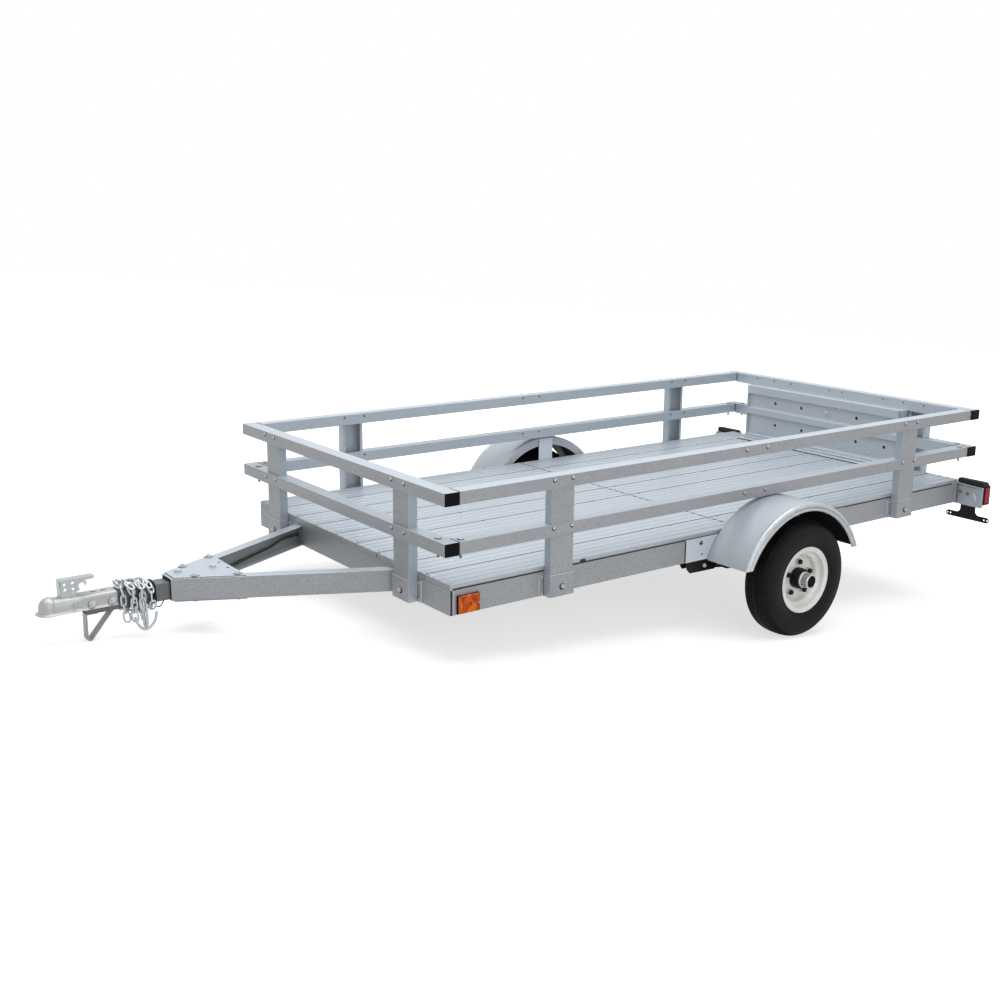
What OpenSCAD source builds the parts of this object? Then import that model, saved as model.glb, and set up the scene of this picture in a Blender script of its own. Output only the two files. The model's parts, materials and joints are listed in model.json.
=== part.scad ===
// Bolt-together galvanised utility trailer with a ribbed plank deck, stake posts and two rails
// all round, small wheels on leaf springs, and an A-frame tongue with a ball coupler.
// Every piece is drawn in the trailer's own level frame: X forward from the frame's front face,
// Y to the left, Z up from the bottom of the frame. parked() then sets the whole trailer down
// nose-low on its tyres and on the V-shaped stand under the coupler.

/* [Frame] */
// Overall width of the frame
frame_w = 1220; // [1000:10:1600]
// Overall length of the frame
frame_l = 2440; // [2100:10:3000]
// Height of the frame channels
frame_h = 76; // [60:1:100]
// Width of the frame channels' flanges
frame_flange = 38; // [28:1:50]
// Thickness of the frame channels
frame_wall = 2.5; // [2:0.5:5]

/* [Deck] */
// Number of planks side by side
plank_count = 9; // [6:1:14]
// Depth of a plank, deck face to frame
plank_depth = 17; // [12:1:30]
// Sheet thickness of a plank
plank_sheet = 1.5; // [1:0.5:3]
// Gap between neighbouring planks
plank_gap = 1; // [0.5:0.5:4]
// Length of the front row of planks
front_plank_l = 1170; // [900:10:1500]

/* [Posts and rails] */
// Width of a stake post
post_w = 86; // [60:1:110]
// Depth of a stake post
post_depth = 31; // [24:1:45]
// Sheet thickness of a post
post_sheet = 2.5; // [2:0.5:4]
// Width of a post's inward lips
post_lip = 12; // [8:1:20]
// Height of a rail's section
rail_h = 38; // [30:1:50]
// Depth of a rail's section
rail_depth = 48; // [45:1:60]
// Sheet thickness of a rail
rail_sheet = 2; // [1.5:0.5:4]
// Top of the top rail above the frame's bottom
top_rail_z = 374; // [300:1:600]
// Top of the middle rail above the frame's bottom
mid_rail_z = 228; // [180:1:280]
// How far the front and rear rails stand out from the frame
end_rail_out = 41; // [36:1:48]
// Distance of the side posts' centres from the ends of the frame
side_post_in = 385; // [200:5:600]
// Space between the A-frame and the pocket of the left front post
left_pocket_gap = 2; // [1:1:60]
// Space between the A-frame and the pocket of the right front post
right_pocket_gap = 41; // [1:1:60]
// Thickness of the plastic caps on the rail ends
cap_t = 4; // [2:0.5:8]

/* [Tongue] */
// Length of the A-frame in front of the frame
a_frame_l = 600; // [450:10:800]
// Width of the A-frame where it meets the frame
a_frame_w = 660; // [500:10:900]
// Width of the A-frame at its front end
a_frame_tip_w = 68; // [64:1:90]
// Height of the A-frame channels
beam_h = 68; // [66:1:74]
// Flange width of the A-frame channels
beam_flange = 38; // [30:1:45]
// Thickness of the A-frame channels
beam_wall = 3; // [2.5:0.5:4]
// Width of the square tongue tube
tube_w = 50; // [45:1:55]
// Height of the tongue tube
tube_h = 54; // [45:1:56]
// Wall of the tongue tube
tube_wall = 3; // [2:0.5:5]
// Rear end of the tongue tube in front of the frame
tube_rear_x = 420; // [380:5:500]
// Thickness of the gusset plates
gusset_t = 4; // [3:0.5:8]

/* [Coupler] */
// Diameter of the hitch ball that the coupler takes
ball_d = 50.8; // [47:0.1:60]
// Centre of the ball in front of the frame
ball_x = 945; // [800:5:1100]
// Height of the ball's centre above the frame's bottom
ball_z = 43; // [38:1:48]
// Sheet thickness of the coupler
coupler_sheet = 3; // [2.5:0.5:4]
// Length of the coupler behind the ball's centre
coupler_tail = 185; // [150:5:220]

/* [Stand] */
// Drop of the stand's foot below the frame's bottom
stand_drop = 78; // [60:1:160]
// Width of the stand's flat bar
stand_w = 30; // [20:1:40]
// Thickness of the stand's flat bar
stand_t = 5; // [4:0.5:8]
// Outer radius of the bend at the foot
stand_bend_r = 10; // [8:1:14]
// Slope of the stand's rear leg from the horizontal
stand_slope = 50; // [42:1:60]

/* [Wheels] */
// Outer radius of the tyres
tyre_r = 204; // [190:1:230]
// Width of the tyres
tyre_w = 116; // [100:1:130]
// Radius of the bead seats on the rims
bead_r = 101; // [98:0.5:104]
// Radius of the rim flanges
flange_r = 115.5; // [112:0.5:120]
// Overall width of the rims
rim_w = 104; // [90:1:110]
// Distance of the wheels' centre planes outside the frame's sides
wheel_out = 123; // [110:1:160]
// Axle's distance ahead of the frame's rear face
axle_from_rear = 1102; // [900:1:1400]
// Axle's centre below the frame's bottom
axle_drop = 85; // [70:1:120]
// Bolt circle of the wheel studs
lug_pcd = 114.3; // [98:0.1:120]

/* [Suspension] */
// Side of the square axle tube
axle_side = 40; // [35:1:50]
// Distance between the spring eyes
spring_l = 636; // [560:2:720]
// Width of the spring leaves
leaf_w = 44; // [38:1:50]
// Thickness of a spring leaf
leaf_t = 7; // [5:0.5:9]
// Height of the spring eyes below the frame's bottom
eye_drop = 20; // [17:1:26]

/* [Mudguards] */
// Height of the mudguards' top above the frame's bottom
guard_top = 182; // [160:1:260]
// Length of the flat top of the mudguards
guard_flat = 90; // [60:2:200]
// Radius of the mudguards' front and rear curves
guard_r = 206; // [150:1:230]
// Slope of the mudguards' legs
guard_slope = 55; // [50:1:65]
// Mudguards' centre ahead of the axle
guard_ahead = 28; // [0:1:40]
// Sheet thickness of the mudguards
guard_sheet = 2; // [1:0.5:3]
// Depth of the mudguards' inner flange
guard_flange = 34; // [20:1:50]
// Clear space outside the tyre to the mudguard's rim
guard_cover = 6; // [4:1:60]

/* [Gate] */
// Width of the folding gate
gate_w = 820; // [600:5:900]
// Height of the folding gate
gate_h = 236; // [180:2:240]
// Depth of the folding gate
gate_depth = 45; // [30:1:46]
// Gate's centre left of the middle
gate_y = -65; // [-80:1:0]
// Sheet thickness of the gate
gate_sheet = 2; // [1.5:0.5:3]
// Spacing of the gate's round holes
gate_hole_pitch = 150; // [100:5:180]
// Radius of the gate's round holes
gate_hole_r = 7.5; // [4:0.5:12]

/* [Lamps] */
// Width of a tail lamp
lamp_w = 124; // [90:1:140]
// Height of a tail lamp
lamp_h = 94; // [60:1:110]
// Depth of a tail lamp
lamp_depth = 46; // [30:1:70]
// Overhang of the lamp brackets beyond the frame's side
lamp_out = 110; // [80:1:130]
// Spacing of the licence plate screws
plate_pitch = 177.8; // [150:0.1:200]

/* [Hidden] */
$fn = 48;

// Fits and running clearances
fit_gap = 0.3;
pin_gap = 0.05;
bite = 1;

// Colours
zinc = [0.66, 0.68, 0.70];
dark_zinc = [0.52, 0.54, 0.56];
black = [0.06, 0.06, 0.07];
cream = [0.83, 0.82, 0.77];
nickel = [0.60, 0.58, 0.53];

// Frame
half_w = frame_w / 2;
joist_clear = 0.5;
joist_z = frame_wall + joist_clear;
joist_h = frame_h - 2 * joist_z;
joist_flange = frame_flange;
deck_z = frame_h + plank_depth;
plank_pitch = frame_w / plank_count;
plank_join = 1;
rear_plank_x = -front_plank_l - plank_join;
axle_x = axle_from_rear - frame_l;
axle_z = -axle_drop;

// Posts, pockets and rails
side_rail_out = post_depth + rail_sheet + fit_gap;
rail_zs = [top_rail_z, mid_rail_z];
side_rail_front = end_rail_out - rail_depth;
side_rail_rear = -frame_l - side_rail_front;
end_rail_half = half_w + side_rail_out;
post_top = top_rail_z - rail_sheet - fit_gap;
side_posts_x = [-side_post_in, -frame_l + side_post_in];
slot_w = post_w + 2 * fit_gap;
pocket_h = 69;
pocket_t = 3;
pocket_ear = 18;
pocket_half = slot_w / 2 + pocket_t + pocket_ear;
end_post_left = a_frame_w / 2 + left_pocket_gap + pocket_half;
end_post_right = a_frame_w / 2 + right_pocket_gap + pocket_half;
end_posts_y = [end_post_left, -end_post_right];
pocket_bolt_z = 31;
pocket_bolt_r = 6.5;
post_foot_z = 8;

// Tongue
beam_top_z = 70;
beam_z = beam_top_z - beam_h;
beam_angle = atan2((a_frame_w - a_frame_tip_w) / 2, a_frame_l);
beam_run = norm([a_frame_l, (a_frame_w - a_frame_tip_w) / 2]) + 2 * beam_flange;
tube_z = beam_z + beam_wall + 0.5;
tube_top_z = tube_z + tube_h;
tube_front_x = ball_x - ball_d / 2 - 70;
gusset_rear_x = tube_rear_x - 18;

// Coupler
socket_r = ball_d / 2 + 0.4;
dome_r = socket_r + coupler_sheet;
coupler_in = tube_w / 2 + fit_gap;
coupler_out = coupler_in + coupler_sheet;
coupler_low_z = ball_z - 18;
coupler_roof_z = tube_top_z + fit_gap;
coupler_top_z = coupler_roof_z + coupler_sheet;
coupler_rear_x = ball_x - coupler_tail;
lip_out = 9;

// Stand
stand_front_x = tube_front_x - 1;
bend_x = stand_front_x - stand_bend_r;
bend_z = stand_bend_r - stand_drop;
stand_foot_l = 36;
stand_leg = (tube_z - bend_z + stand_bend_r * cos(stand_slope)) / sin(stand_slope);

// Parked attitude: the tyres and the foot's bend touch the ground together
stand_dx = bend_x - axle_x;
stand_dz = bend_z - axle_z;
park_deg = atan2(stand_dz, stand_dx) + asin((tyre_r - stand_bend_r) / norm([stand_dx, stand_dz]));
nose_x = ball_x + coupler_out + lip_out;
nose_z = coupler_low_z + coupler_sheet;
lamp_front_x = -frame_l - frame_wall - 8;
lamp_back_x = lamp_front_x - lamp_depth;
lamp_z = 2;
front_reach = (nose_x - axle_x) * cos(park_deg) + (nose_z - axle_z) * sin(park_deg);
rear_reach = (lamp_back_x - axle_x) * cos(park_deg) + (lamp_z - axle_z) * sin(park_deg);
park_x = -(front_reach + rear_reach) / 2;

// Wheels
wheel_y = half_w + wheel_out;
lug_r = lug_pcd / 2;
lug_count = 5;
lug_angles = [for (i = [0 : lug_count - 1]) 52 + 360 * i / lug_count];
stud_r = 6.35;
disc_y = 10;
disc_t = 3.5;
hub_bore_r = 33.5;
hub_r = 33;
hub_flange_r = lug_r + stud_r + 4.5;
hub_flange_t = 8;
cap_r = 22;
hub_in_y = -60;
hub_out_y = 42;
cap_out_y = 78;
bearing_r = 12.5;
spindle_r = bearing_r - pin_gap;

// Suspension
eye_bore_r = 7;
eye_r = eye_bore_r + leaf_t - 1;
eye_z = -eye_drop;
seat_z = axle_z + axle_side / 2;
leaf_end_z = eye_z - eye_r + 0.5;
leaf_sag = leaf_end_z - leaf_t - seat_z;
leaf_stations = 8;
short_stations = 5;
hanger_half = spring_l / 2;
hanger_x = [axle_x + hanger_half, axle_x - hanger_half];
hanger_l = 136;
hanger_foot_l = 90;
hanger_h = 39;
hanger_t = 4;
hanger_gap = leaf_w / 2 + 1.5;
spring_y = half_w - hanger_gap - hanger_t;
plate_t = 3;
plate_l = 150;
tie_hole_r = 8.5;
tie_hole_x = hanger_x[0] + 16;
tie_hole_z = frame_h - 17;

// Mudguards
guard_x = axle_x + guard_ahead;
guard_in_y = half_w + plate_t;
guard_out_y = wheel_y + tyre_w / 2 + guard_cover;
guard_bead = 5;
guard_foot_z = -3;
guard_leg = (guard_top - guard_r * (1 - cos(guard_slope)) - guard_foot_z) / sin(guard_slope);
guard_arc_n = 12;
guard_over = 20;
brace_w = 70;

// Gate
gate_clear = 6;
gate_back_x = side_rail_rear + gate_clear;
gate_front_x = gate_back_x + gate_depth;
hinge_r = 5;
hinge_pin_r = 2.5;
hinge_x = gate_front_x + hinge_r + 1;
hinge_z = deck_z + hinge_r + 1;
foot_plate_l = 42;
foot_plate_t = 2.5;
knuckle_n = 5;
knuckle_l = gate_w / knuckle_n;
knuckle_gap = 1;
gate_low_z = hinge_z - 1;
gate_hole_zs = [176, 78];

// Lamps
bracket_t = frame_wall;
bracket_in = 50;
bracket_z = -6;
bracket_top = 70;
bracket_lip = 7;
lamp_mid_y = half_w + lamp_out - bracket_t - lamp_w / 2 + 6;
marker_l = 78;
marker_h = 56;
marker_t = 12;

// The whole trailer, lowered from level onto its stand
module parked() {
    translate([park_x, 0, tyre_r])
        rotate([0, park_deg, 0])
            translate([-axle_x, 0, -axle_z])
                children();
}

// The same piece on both sides
module both_sides() {
    children();
    mirror([0, 1, 0])
        children();
}

// A channel along +X, its web's outer face at Y = 0 and its flanges reaching to -Y
module channel(length, height, flange, wall) {
    difference() {
        translate([0, -flange, 0])
            cube([length, flange, height]);
        translate([-bite, -flange - bite, wall])
            cube([length + 2 * bite, flange + bite - wall, height - 2 * wall]);
    }
}

// ---- Frame ----

module side_frame() {
    difference() {
        translate([-frame_l, half_w, 0])
            channel(frame_l, frame_h, frame_flange, frame_wall);
        for (x = [-frame_l, -frame_flange])
            translate([x - bite * (x < -frame_flange ? 1 : 0), half_w - frame_flange - bite, -bite])
                cube([frame_flange + bite, frame_flange + bite - frame_wall, frame_h + 2 * bite]);
        translate([tie_hole_x, half_w + bite, tie_hole_z])
            rotate([90, 0, 0])
                cylinder(h = frame_wall + 2 * bite, r = tie_hole_r);
    }
}

module side_frame_left() {
    color(zinc) parked() side_frame();
}

module side_frame_right() {
    color(zinc) parked() mirror([0, 1, 0]) side_frame();
}

module end_channel() {
    translate([0, half_w - frame_wall, 0])
        rotate([0, 0, -90])
            channel(frame_w - 2 * frame_wall, frame_h, frame_flange, frame_wall);
}

module front_crossmember() {
    color(zinc) parked() end_channel();
}

module rear_crossmember() {
    color(zinc) parked() translate([-frame_l, 0, 0]) mirror([1, 0, 0]) end_channel();
}

// Channels across the frame under the deck, one of them under the joint between the plank rows
module deck_joists() {
    joist_xs = [-front_plank_l + joist_flange / 2, -frame_l / 5, -frame_l * 2 / 5,
        -frame_l * 0.69, -frame_l * 0.84];
    color(zinc)
        parked()
            for (x = joist_xs)
                translate([x, half_w - frame_wall, joist_z])
                    rotate([0, 0, -90])
                        channel(frame_w - 2 * frame_wall, joist_h, joist_flange, frame_wall);
}

// ---- Deck ----

// One plank with its legs down, the front edge at X = 0, running back
module plank(length) {
    width = plank_pitch - plank_gap;
    translate([-length, -width / 2, frame_h])
        difference() {
            cube([length, width, plank_depth]);
            translate([-bite, plank_sheet, -bite])
                cube([length + 2 * bite, width - 2 * plank_sheet, plank_depth + bite - plank_sheet]);
        }
}

module plank_row(front_x, length) {
    for (i = [0 : plank_count - 1])
        translate([front_x, -half_w + (i + 0.5) * plank_pitch, 0])
            plank(length);
}

module deck_planks_front() {
    color(zinc) parked() plank_row(0, front_plank_l);
}

module deck_planks_rear() {
    color(zinc) parked() plank_row(rear_plank_x, frame_l + rear_plank_x);
}

// ---- Tongue ----

// Left beam, open towards the middle, cut at the frame's face and at the tongue's front end
module tongue_beam() {
    intersection() {
        translate([a_frame_l, a_frame_tip_w / 2, beam_z])
            rotate([0, 0, 180 - beam_angle])
                translate([-beam_flange, 0, 0])
                    mirror([0, 1, 0])
                        channel(beam_run, beam_h, beam_flange, beam_wall);
        translate([0, fit_gap, 0])
            cube([a_frame_l, a_frame_w, beam_top_z + bite]);
    }
}

module tongue_beam_left() {
    color(zinc) parked() tongue_beam();
}

module tongue_beam_right() {
    color(zinc) parked() mirror([0, 1, 0]) tongue_beam();
}

function beam_y(x) = a_frame_tip_w / 2 + (a_frame_l - x) * tan(beam_angle);

// Plates over and under the point of the A
module tongue_gusset() {
    inset = 3;
    outline = [[a_frame_l - 8, beam_y(a_frame_l - 8) - inset],
        [gusset_rear_x, beam_y(gusset_rear_x) - inset],
        [gusset_rear_x, inset - beam_y(gusset_rear_x)],
        [a_frame_l - 8, inset - beam_y(a_frame_l - 8)]];
    color(zinc)
        parked()
            for (z = [beam_top_z, beam_z - gusset_t])
                translate([0, 0, z])
                    linear_extrude(gusset_t)
                        polygon(outline);
}

module tongue_tube() {
    color(zinc)
        parked()
            translate([tube_rear_x, -tube_w / 2, tube_z])
                difference() {
                    cube([tube_front_x - tube_rear_x, tube_w, tube_h]);
                    translate([-bite, tube_wall, tube_wall])
                        cube([tube_front_x - tube_rear_x + 2 * bite, tube_w - 2 * tube_wall,
                            tube_h - 2 * tube_wall]);
                }
}

// ---- Coupler ----

// Plan of the coupler: straight sides and a round nose about the ball's centre
module coupler_plan(half, tail) {
    circle(r = half);
    translate([-tail, -half])
        square([tail, 2 * half]);
}

module coupler_body() {
    color(nickel)
        parked()
            translate([ball_x, 0, 0])
                difference() {
                    union() {
                        translate([0, 0, coupler_low_z])
                            linear_extrude(coupler_top_z - coupler_low_z)
                                coupler_plan(coupler_out, coupler_tail);
                        translate([0, 0, coupler_low_z])
                            linear_extrude(coupler_sheet)
                                coupler_plan(coupler_out + lip_out, coupler_tail);
                        translate([0, 0, ball_z])
                            sphere(r = dome_r);
                    }
                    translate([0, 0, coupler_low_z - 20])
                        linear_extrude(20)
                            square([300, 300], center = true);
                    translate([-socket_r - 40, 0, coupler_low_z - bite])
                        linear_extrude(coupler_roof_z - coupler_low_z + bite)
                            translate([-coupler_tail, -coupler_in])
                                square([coupler_tail, 2 * coupler_in]);
                    translate([0, 0, ball_z])
                        sphere(r = socket_r);
                    translate([0, 0, coupler_low_z - bite])
                        cylinder(h = ball_z - coupler_low_z + bite, r = socket_r);
                    translate([-socket_r - 45, -8, coupler_low_z - bite])
                        cube([socket_r + 45, 16, ball_z - coupler_low_z + bite + 4]);
                }
}

// The lever lies back, tipped up off the coupler, over a pivot block on the coupler's roof
module coupler_latch() {
    lever_half = 15;
    side = [[-128, 27], [-36, 15], [-29, 52], [-112, 60], [-127, 57], [-108, 49], [-107, 41],
        [-98, 42], [-94, 30], [-110, 30]];
    color(zinc)
        parked()
            translate([ball_x, 0, 0]) {
                translate([-74, -lever_half + 3 + fit_gap, coupler_top_z])
                    cube([46, 2 * (lever_half - 3 - fit_gap), 14]);
                translate([0, 0, ball_z])
                    difference() {
                        translate([0, lever_half, 0])
                            rotate([90, 0, 0])
                                linear_extrude(2 * lever_half)
                                    polygon([[-78, 22], [-36, 22], [-29, 74], [-127, 81], [-124, 76],
                                        [-102, 72], [-104, 63], [-96, 62], [-94, 52], [-84, 42],
                                        [-78, 34]]);
                        translate([0, lever_half - 3, 0])
                            rotate([90, 0, 0])
                                linear_extrude(2 * lever_half - 6)
                                    polygon([[-140, 10], [-25, 10], [-31, 71], [-140, 79]]);
                    }
            }
}

// ---- Stand ----

// Flat bar bent to a V, its two ends turned flat under the tongue tube
module tongue_stand() {
    color(dark_zinc)
        parked()
            translate([0, stand_w / 2, 0])
                rotate([90, 0, 0])
                    linear_extrude(stand_w)
                        difference() {
                            stand_side();
                            translate([0, tube_z])
                                square([2 * stand_front_x, tube_h]);
                        }
}

// Side view of the stand, its rear leg a little too long
module stand_side() {
    translate([stand_front_x - stand_t, bend_z])
        square([stand_t, tube_z - bend_z]);
    translate([stand_front_x - stand_foot_l, tube_z - stand_t])
        square([stand_foot_l, stand_t]);
    translate([bend_x, bend_z]) {
        difference() {
            circle(r = stand_bend_r);
            circle(r = stand_bend_r - stand_t);
            rotate(180 - stand_slope)
                translate([0, -stand_bend_r])
                    square([2 * stand_bend_r, 2 * stand_bend_r]);
            translate([-2 * stand_bend_r, 0])
                square([4 * stand_bend_r, 2 * stand_bend_r]);
        }
        rotate(180 - stand_slope)
            translate([0, stand_bend_r - stand_t])
                square([stand_leg, stand_t]);
    }
}

// ---- Chains and wiring ----

module chain_collar(x, length, slack) {
    translate([x, 0, 0])
        difference() {
            translate([0, -tube_w / 2 - slack, tube_z - 14])
                cube([length, tube_w + 2 * slack, tube_h + 14 + slack]);
            translate([-bite, -tube_w / 2 - fit_gap, tube_z - fit_gap])
                cube([length + 2 * bite, tube_w + 2 * fit_gap, tube_h + 2 * fit_gap]);
        }
}

module safety_chains() {
    hook_r = 5;
    color(dark_zinc)
        parked() {
            chain_collar(690, 60, 16);
            chain_collar(666, 22, 22);
            for (y = [-26, 26])
                translate([678, y, tube_z - 12])
                    mirror([0, 0, 1])
                        cylinder(h = 36, r = hook_r);
            for (y = [-26, 26])
                translate([678, y, tube_z - 12 - 36])
                    rotate([90, 0, 0])
                        rotate([0, 0, 180])
                            rotate_extrude(angle = 180)
                                translate([22, 0])
                                    circle(r = hook_r, $fn = 24);
            for (y = [-26, 26])
                translate([678, y, tube_z - 12 - 36])
                    rotate([0, 90, 0])
                        translate([0, 0, -23])
                            cylinder(h = 46, r = hook_r);
        }
}

// A tube swept along a list of points, with flat ends
function unit(v) = v / norm(v);
function along(p, i) = unit(p[min(i + 1, len(p) - 1)] - p[max(i - 1, 0)]);
function across(t) = unit(cross(t, abs(t[2]) < 0.8 ? [0, 0, 1] : [0, 1, 0]));
function ring_at(c, t, r, n) = [for (k = [0 : n - 1])
    c + r * (cos(360 * k / n) * across(t) + sin(360 * k / n) * cross(across(t), t))];

module swept_tube(p, r, n) {
    count = len(p);
    points = [for (i = [0 : count - 1]) each ring_at(p[i], along(p, i), r, n)];
    sides = [for (i = [0 : count - 2]) for (k = [0 : n - 1])
        [i * n + k, i * n + (k + 1) % n, (i + 1) * n + (k + 1) % n, (i + 1) * n + k]];
    ends = [[for (k = [0 : n - 1]) n - 1 - k], [for (k = [0 : n - 1]) (count - 1) * n + k]];
    polyhedron(points = points, faces = concat(sides, ends));
}

// The lamp wiring: once round the tongue tube, a short loop below it, then along the inside of
// the right-hand beam and through the front crossmember's face
module wiring_harness() {
    r = 2.5;
    off = r + 1;
    side = tube_w / 2 + off;
    low = tube_z - off;
    high = tube_top_z + off;
    web = (beam_wall + off) / cos(beam_angle);
    floor_z = beam_z + beam_wall + off;
    route = [[658, side, low + 18], [657, side, high - 4], [657, side - 1, high - 1],
        [657, side - 4, high], [655, 4 - side, high], [654, 1 - side, high - 1],
        [654, -side, high - 4], [653, -side, low + 4], [652, 1 - side, low + 1],
        [650, 5 - side, low - 1], [642, -14, low - 7], [630, -12, low - 10],
        [618, -18, low - 4], [614, 4 - side, low - 1], [611, 1 - side, low + 1],
        [608, -side, low + 4], [603, -side, low + 8], [595, -side + 0.5, floor_z + 5], [580, -side - 1, floor_z + 1],
        [540, web - beam_y(540), floor_z], [400, web - beam_y(400), floor_z],
        [250, web - beam_y(250), floor_z], [100, web - beam_y(100), floor_z + 3],
        [30, web + 2 - beam_y(30), floor_z + 12], [1, web + 4 - beam_y(1), floor_z + 16]];
    color(black) parked() swept_tube(route, r, 8);
}

// ---- Posts and rails ----

// A lipped channel standing up, its web's outer face at Y = 0 and its open side to -Y
module post() {
    translate([-post_w / 2, -post_depth, post_foot_z])
        linear_extrude(post_top - post_foot_z)
            difference() {
                square([post_w, post_depth]);
                translate([post_sheet, post_sheet])
                    square([post_w - 2 * post_sheet, post_depth - 2 * post_sheet]);
                translate([post_lip, -bite])
                    square([post_w - 2 * post_lip, post_depth / 2]);
            }
}

// A hat-shaped pocket that holds a post's foot against the frame, with a foot ledge and two ears
module pocket() {
    inner = slot_w;
    outer = inner + 2 * pocket_t;
    ear_t = 3;
    difference() {
        union() {
            translate([-outer / 2, 0, 0])
                cube([outer, post_depth + fit_gap + pocket_t, pocket_h]);
            translate([-outer / 2 - pocket_ear, 0, 0])
                cube([outer + 2 * pocket_ear, ear_t, pocket_h]);
        }
        translate([-inner / 2, -bite, post_foot_z - fit_gap])
            cube([inner, post_depth + fit_gap + bite, pocket_h]);
        translate([-inner / 2, -bite, -bite])
            cube([inner, post_depth - 3 + bite, pocket_h]);
    }
}

module at_side_posts(out) {
    for (x = side_posts_x)
        translate([x, half_w + out, 0])
            children();
}

module at_front_posts(out) {
    for (y = end_posts_y)
        translate([out, y, 0])
            rotate([0, 0, -90])
                children();
}

module at_rear_posts(out) {
    for (y = end_posts_y)
        translate([-frame_l - out, y, 0])
            rotate([0, 0, 90])
                children();
}

module post_pockets() {
    color(zinc)
        parked() {
            both_sides() at_side_posts(0) pocket();
            at_front_posts(0) pocket();
            at_rear_posts(0) pocket();
        }
}

module left_posts() {
    color(zinc) parked() at_side_posts(post_depth) post();
}

module right_posts() {
    color(zinc) parked() mirror([0, 1, 0]) at_side_posts(post_depth) post();
}

module front_posts() {
    color(zinc) parked() at_front_posts(post_depth) post();
}

module rear_posts() {
    color(zinc) parked() at_rear_posts(post_depth) post();
}

// A rail tube along X, its outer face at Y = 0 and its top at Z = 0
module rail_tube(x0, x1) {
    translate([x0, -rail_depth, -rail_h])
        difference() {
            cube([x1 - x0, rail_depth, rail_h]);
            translate([-bite, rail_sheet, rail_sheet])
                cube([x1 - x0 + 2 * bite, rail_depth - 2 * rail_sheet, rail_h - 2 * rail_sheet]);
        }
}

// The opening that a post needs in a rail: through both walls, or only up through the lower one
module post_slot(top) {
    translate([-slot_w / 2, -post_depth - fit_gap, -rail_h - bite])
        cube([slot_w, post_depth + 2 * fit_gap, top ? rail_h + bite - rail_sheet : rail_h + 2 * bite]);
}

module side_rails() {
    splice = (side_rail_front + side_rail_rear) / 2;
    spans = [[splice + 0.25, side_rail_front], [side_rail_rear, splice - 0.25]];
    for (z = rail_zs)
        for (span = spans)
            translate([0, half_w, z])
                difference() {
                    translate([0, side_rail_out, 0])
                        rail_tube(span[0], span[1]);
                    for (x = side_posts_x)
                        translate([x, post_depth, 0])
                            post_slot(z == top_rail_z);
                }
}

module left_rails() {
    color(zinc) parked() side_rails();
}

module right_rails() {
    color(zinc) parked() mirror([0, 1, 0]) side_rails();
}

// Rails across the front, drawn along X and turned; the posts sit further in than on the sides
module end_rails() {
    for (z = rail_zs)
        translate([0, 0, z])
            difference() {
                translate([end_rail_out, 0, 0])
                    rotate([0, 0, -90])
                        rail_tube(-end_rail_half, end_rail_half);
                for (y = end_posts_y)
                    translate([post_depth, y, 0])
                        rotate([0, 0, -90])
                            post_slot(z == top_rail_z);
            }
}

module front_rails() {
    color(zinc) parked() end_rails();
}

module rear_rails() {
    color(zinc) parked() translate([-frame_l, 0, 0]) mirror([1, 0, 0]) end_rails();
}

// A plastic cap on a rail's end: a face plate and a plug inside the tube
module rail_cap() {
    plug = rail_sheet + fit_gap;
    translate([-rail_depth, 0, -rail_h])
        cube([rail_depth, cap_t, rail_h]);
    translate([plug - rail_depth, -12, plug - rail_h])
        cube([rail_depth - 2 * plug, 12, rail_h - 2 * plug]);
}

module rail_caps() {
    color(black)
        parked()
            both_sides()
                for (z = rail_zs) {
                    translate([end_rail_out, end_rail_half, z])
                        rail_cap();
                    translate([-frame_l - end_rail_out + rail_depth, end_rail_half, z])
                        rail_cap();
                }
}

// ---- Mudguards ----

function guard_arc(r, side) = [for (i = [0 : guard_arc_n])
    let (a = guard_slope * i / guard_arc_n)
    [side * (guard_flat / 2 + r * sin(a)), guard_top - guard_r + r * cos(a)]];
function guard_leg_end(r, side) = [side * (guard_flat / 2 + r * sin(guard_slope)
    + (guard_leg + guard_over) * cos(guard_slope)), guard_top - guard_r + r * cos(guard_slope)
    - (guard_leg + guard_over) * sin(guard_slope)];
function reversed(list) = [for (i = [len(list) - 1 : -1 : 0]) list[i]];

// Side view of the arch, as far inside its outer face as inset says, with legs cut off later
module guard_shape(inset) {
    r = guard_r - inset;
    polygon(concat([guard_leg_end(r, -1)], reversed(guard_arc(r, -1)), guard_arc(r, 1),
        [guard_leg_end(r, 1)]));
}

module guard_slab(inset, y0, y1) {
    translate([guard_x, y1, 0])
        rotate([90, 0, 0])
            linear_extrude(y1 - y0)
                guard_shape(inset);
}

module fender() {
    bead_y = guard_out_y - 2 * guard_bead;
    difference() {
        union() {
            guard_slab(0, guard_in_y, guard_out_y - bite);
            guard_slab(-guard_bead, bead_y, guard_out_y);
        }
        guard_slab(guard_bead, bead_y, guard_out_y + bite);
        guard_slab(guard_sheet, guard_in_y + guard_sheet, bead_y + bite);
        guard_slab(guard_flange, guard_in_y - bite, guard_in_y + guard_sheet + bite);
        translate([guard_x - 2 * guard_r, guard_in_y - bite, guard_foot_z - 2 * guard_r])
            cube([4 * guard_r, guard_out_y - guard_in_y + 2 * bite, 2 * guard_r]);
    }
}

module fender_left() {
    color(zinc) parked() fender();
}

module fender_right() {
    color(zinc) parked() mirror([0, 1, 0]) fender();
}

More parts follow.
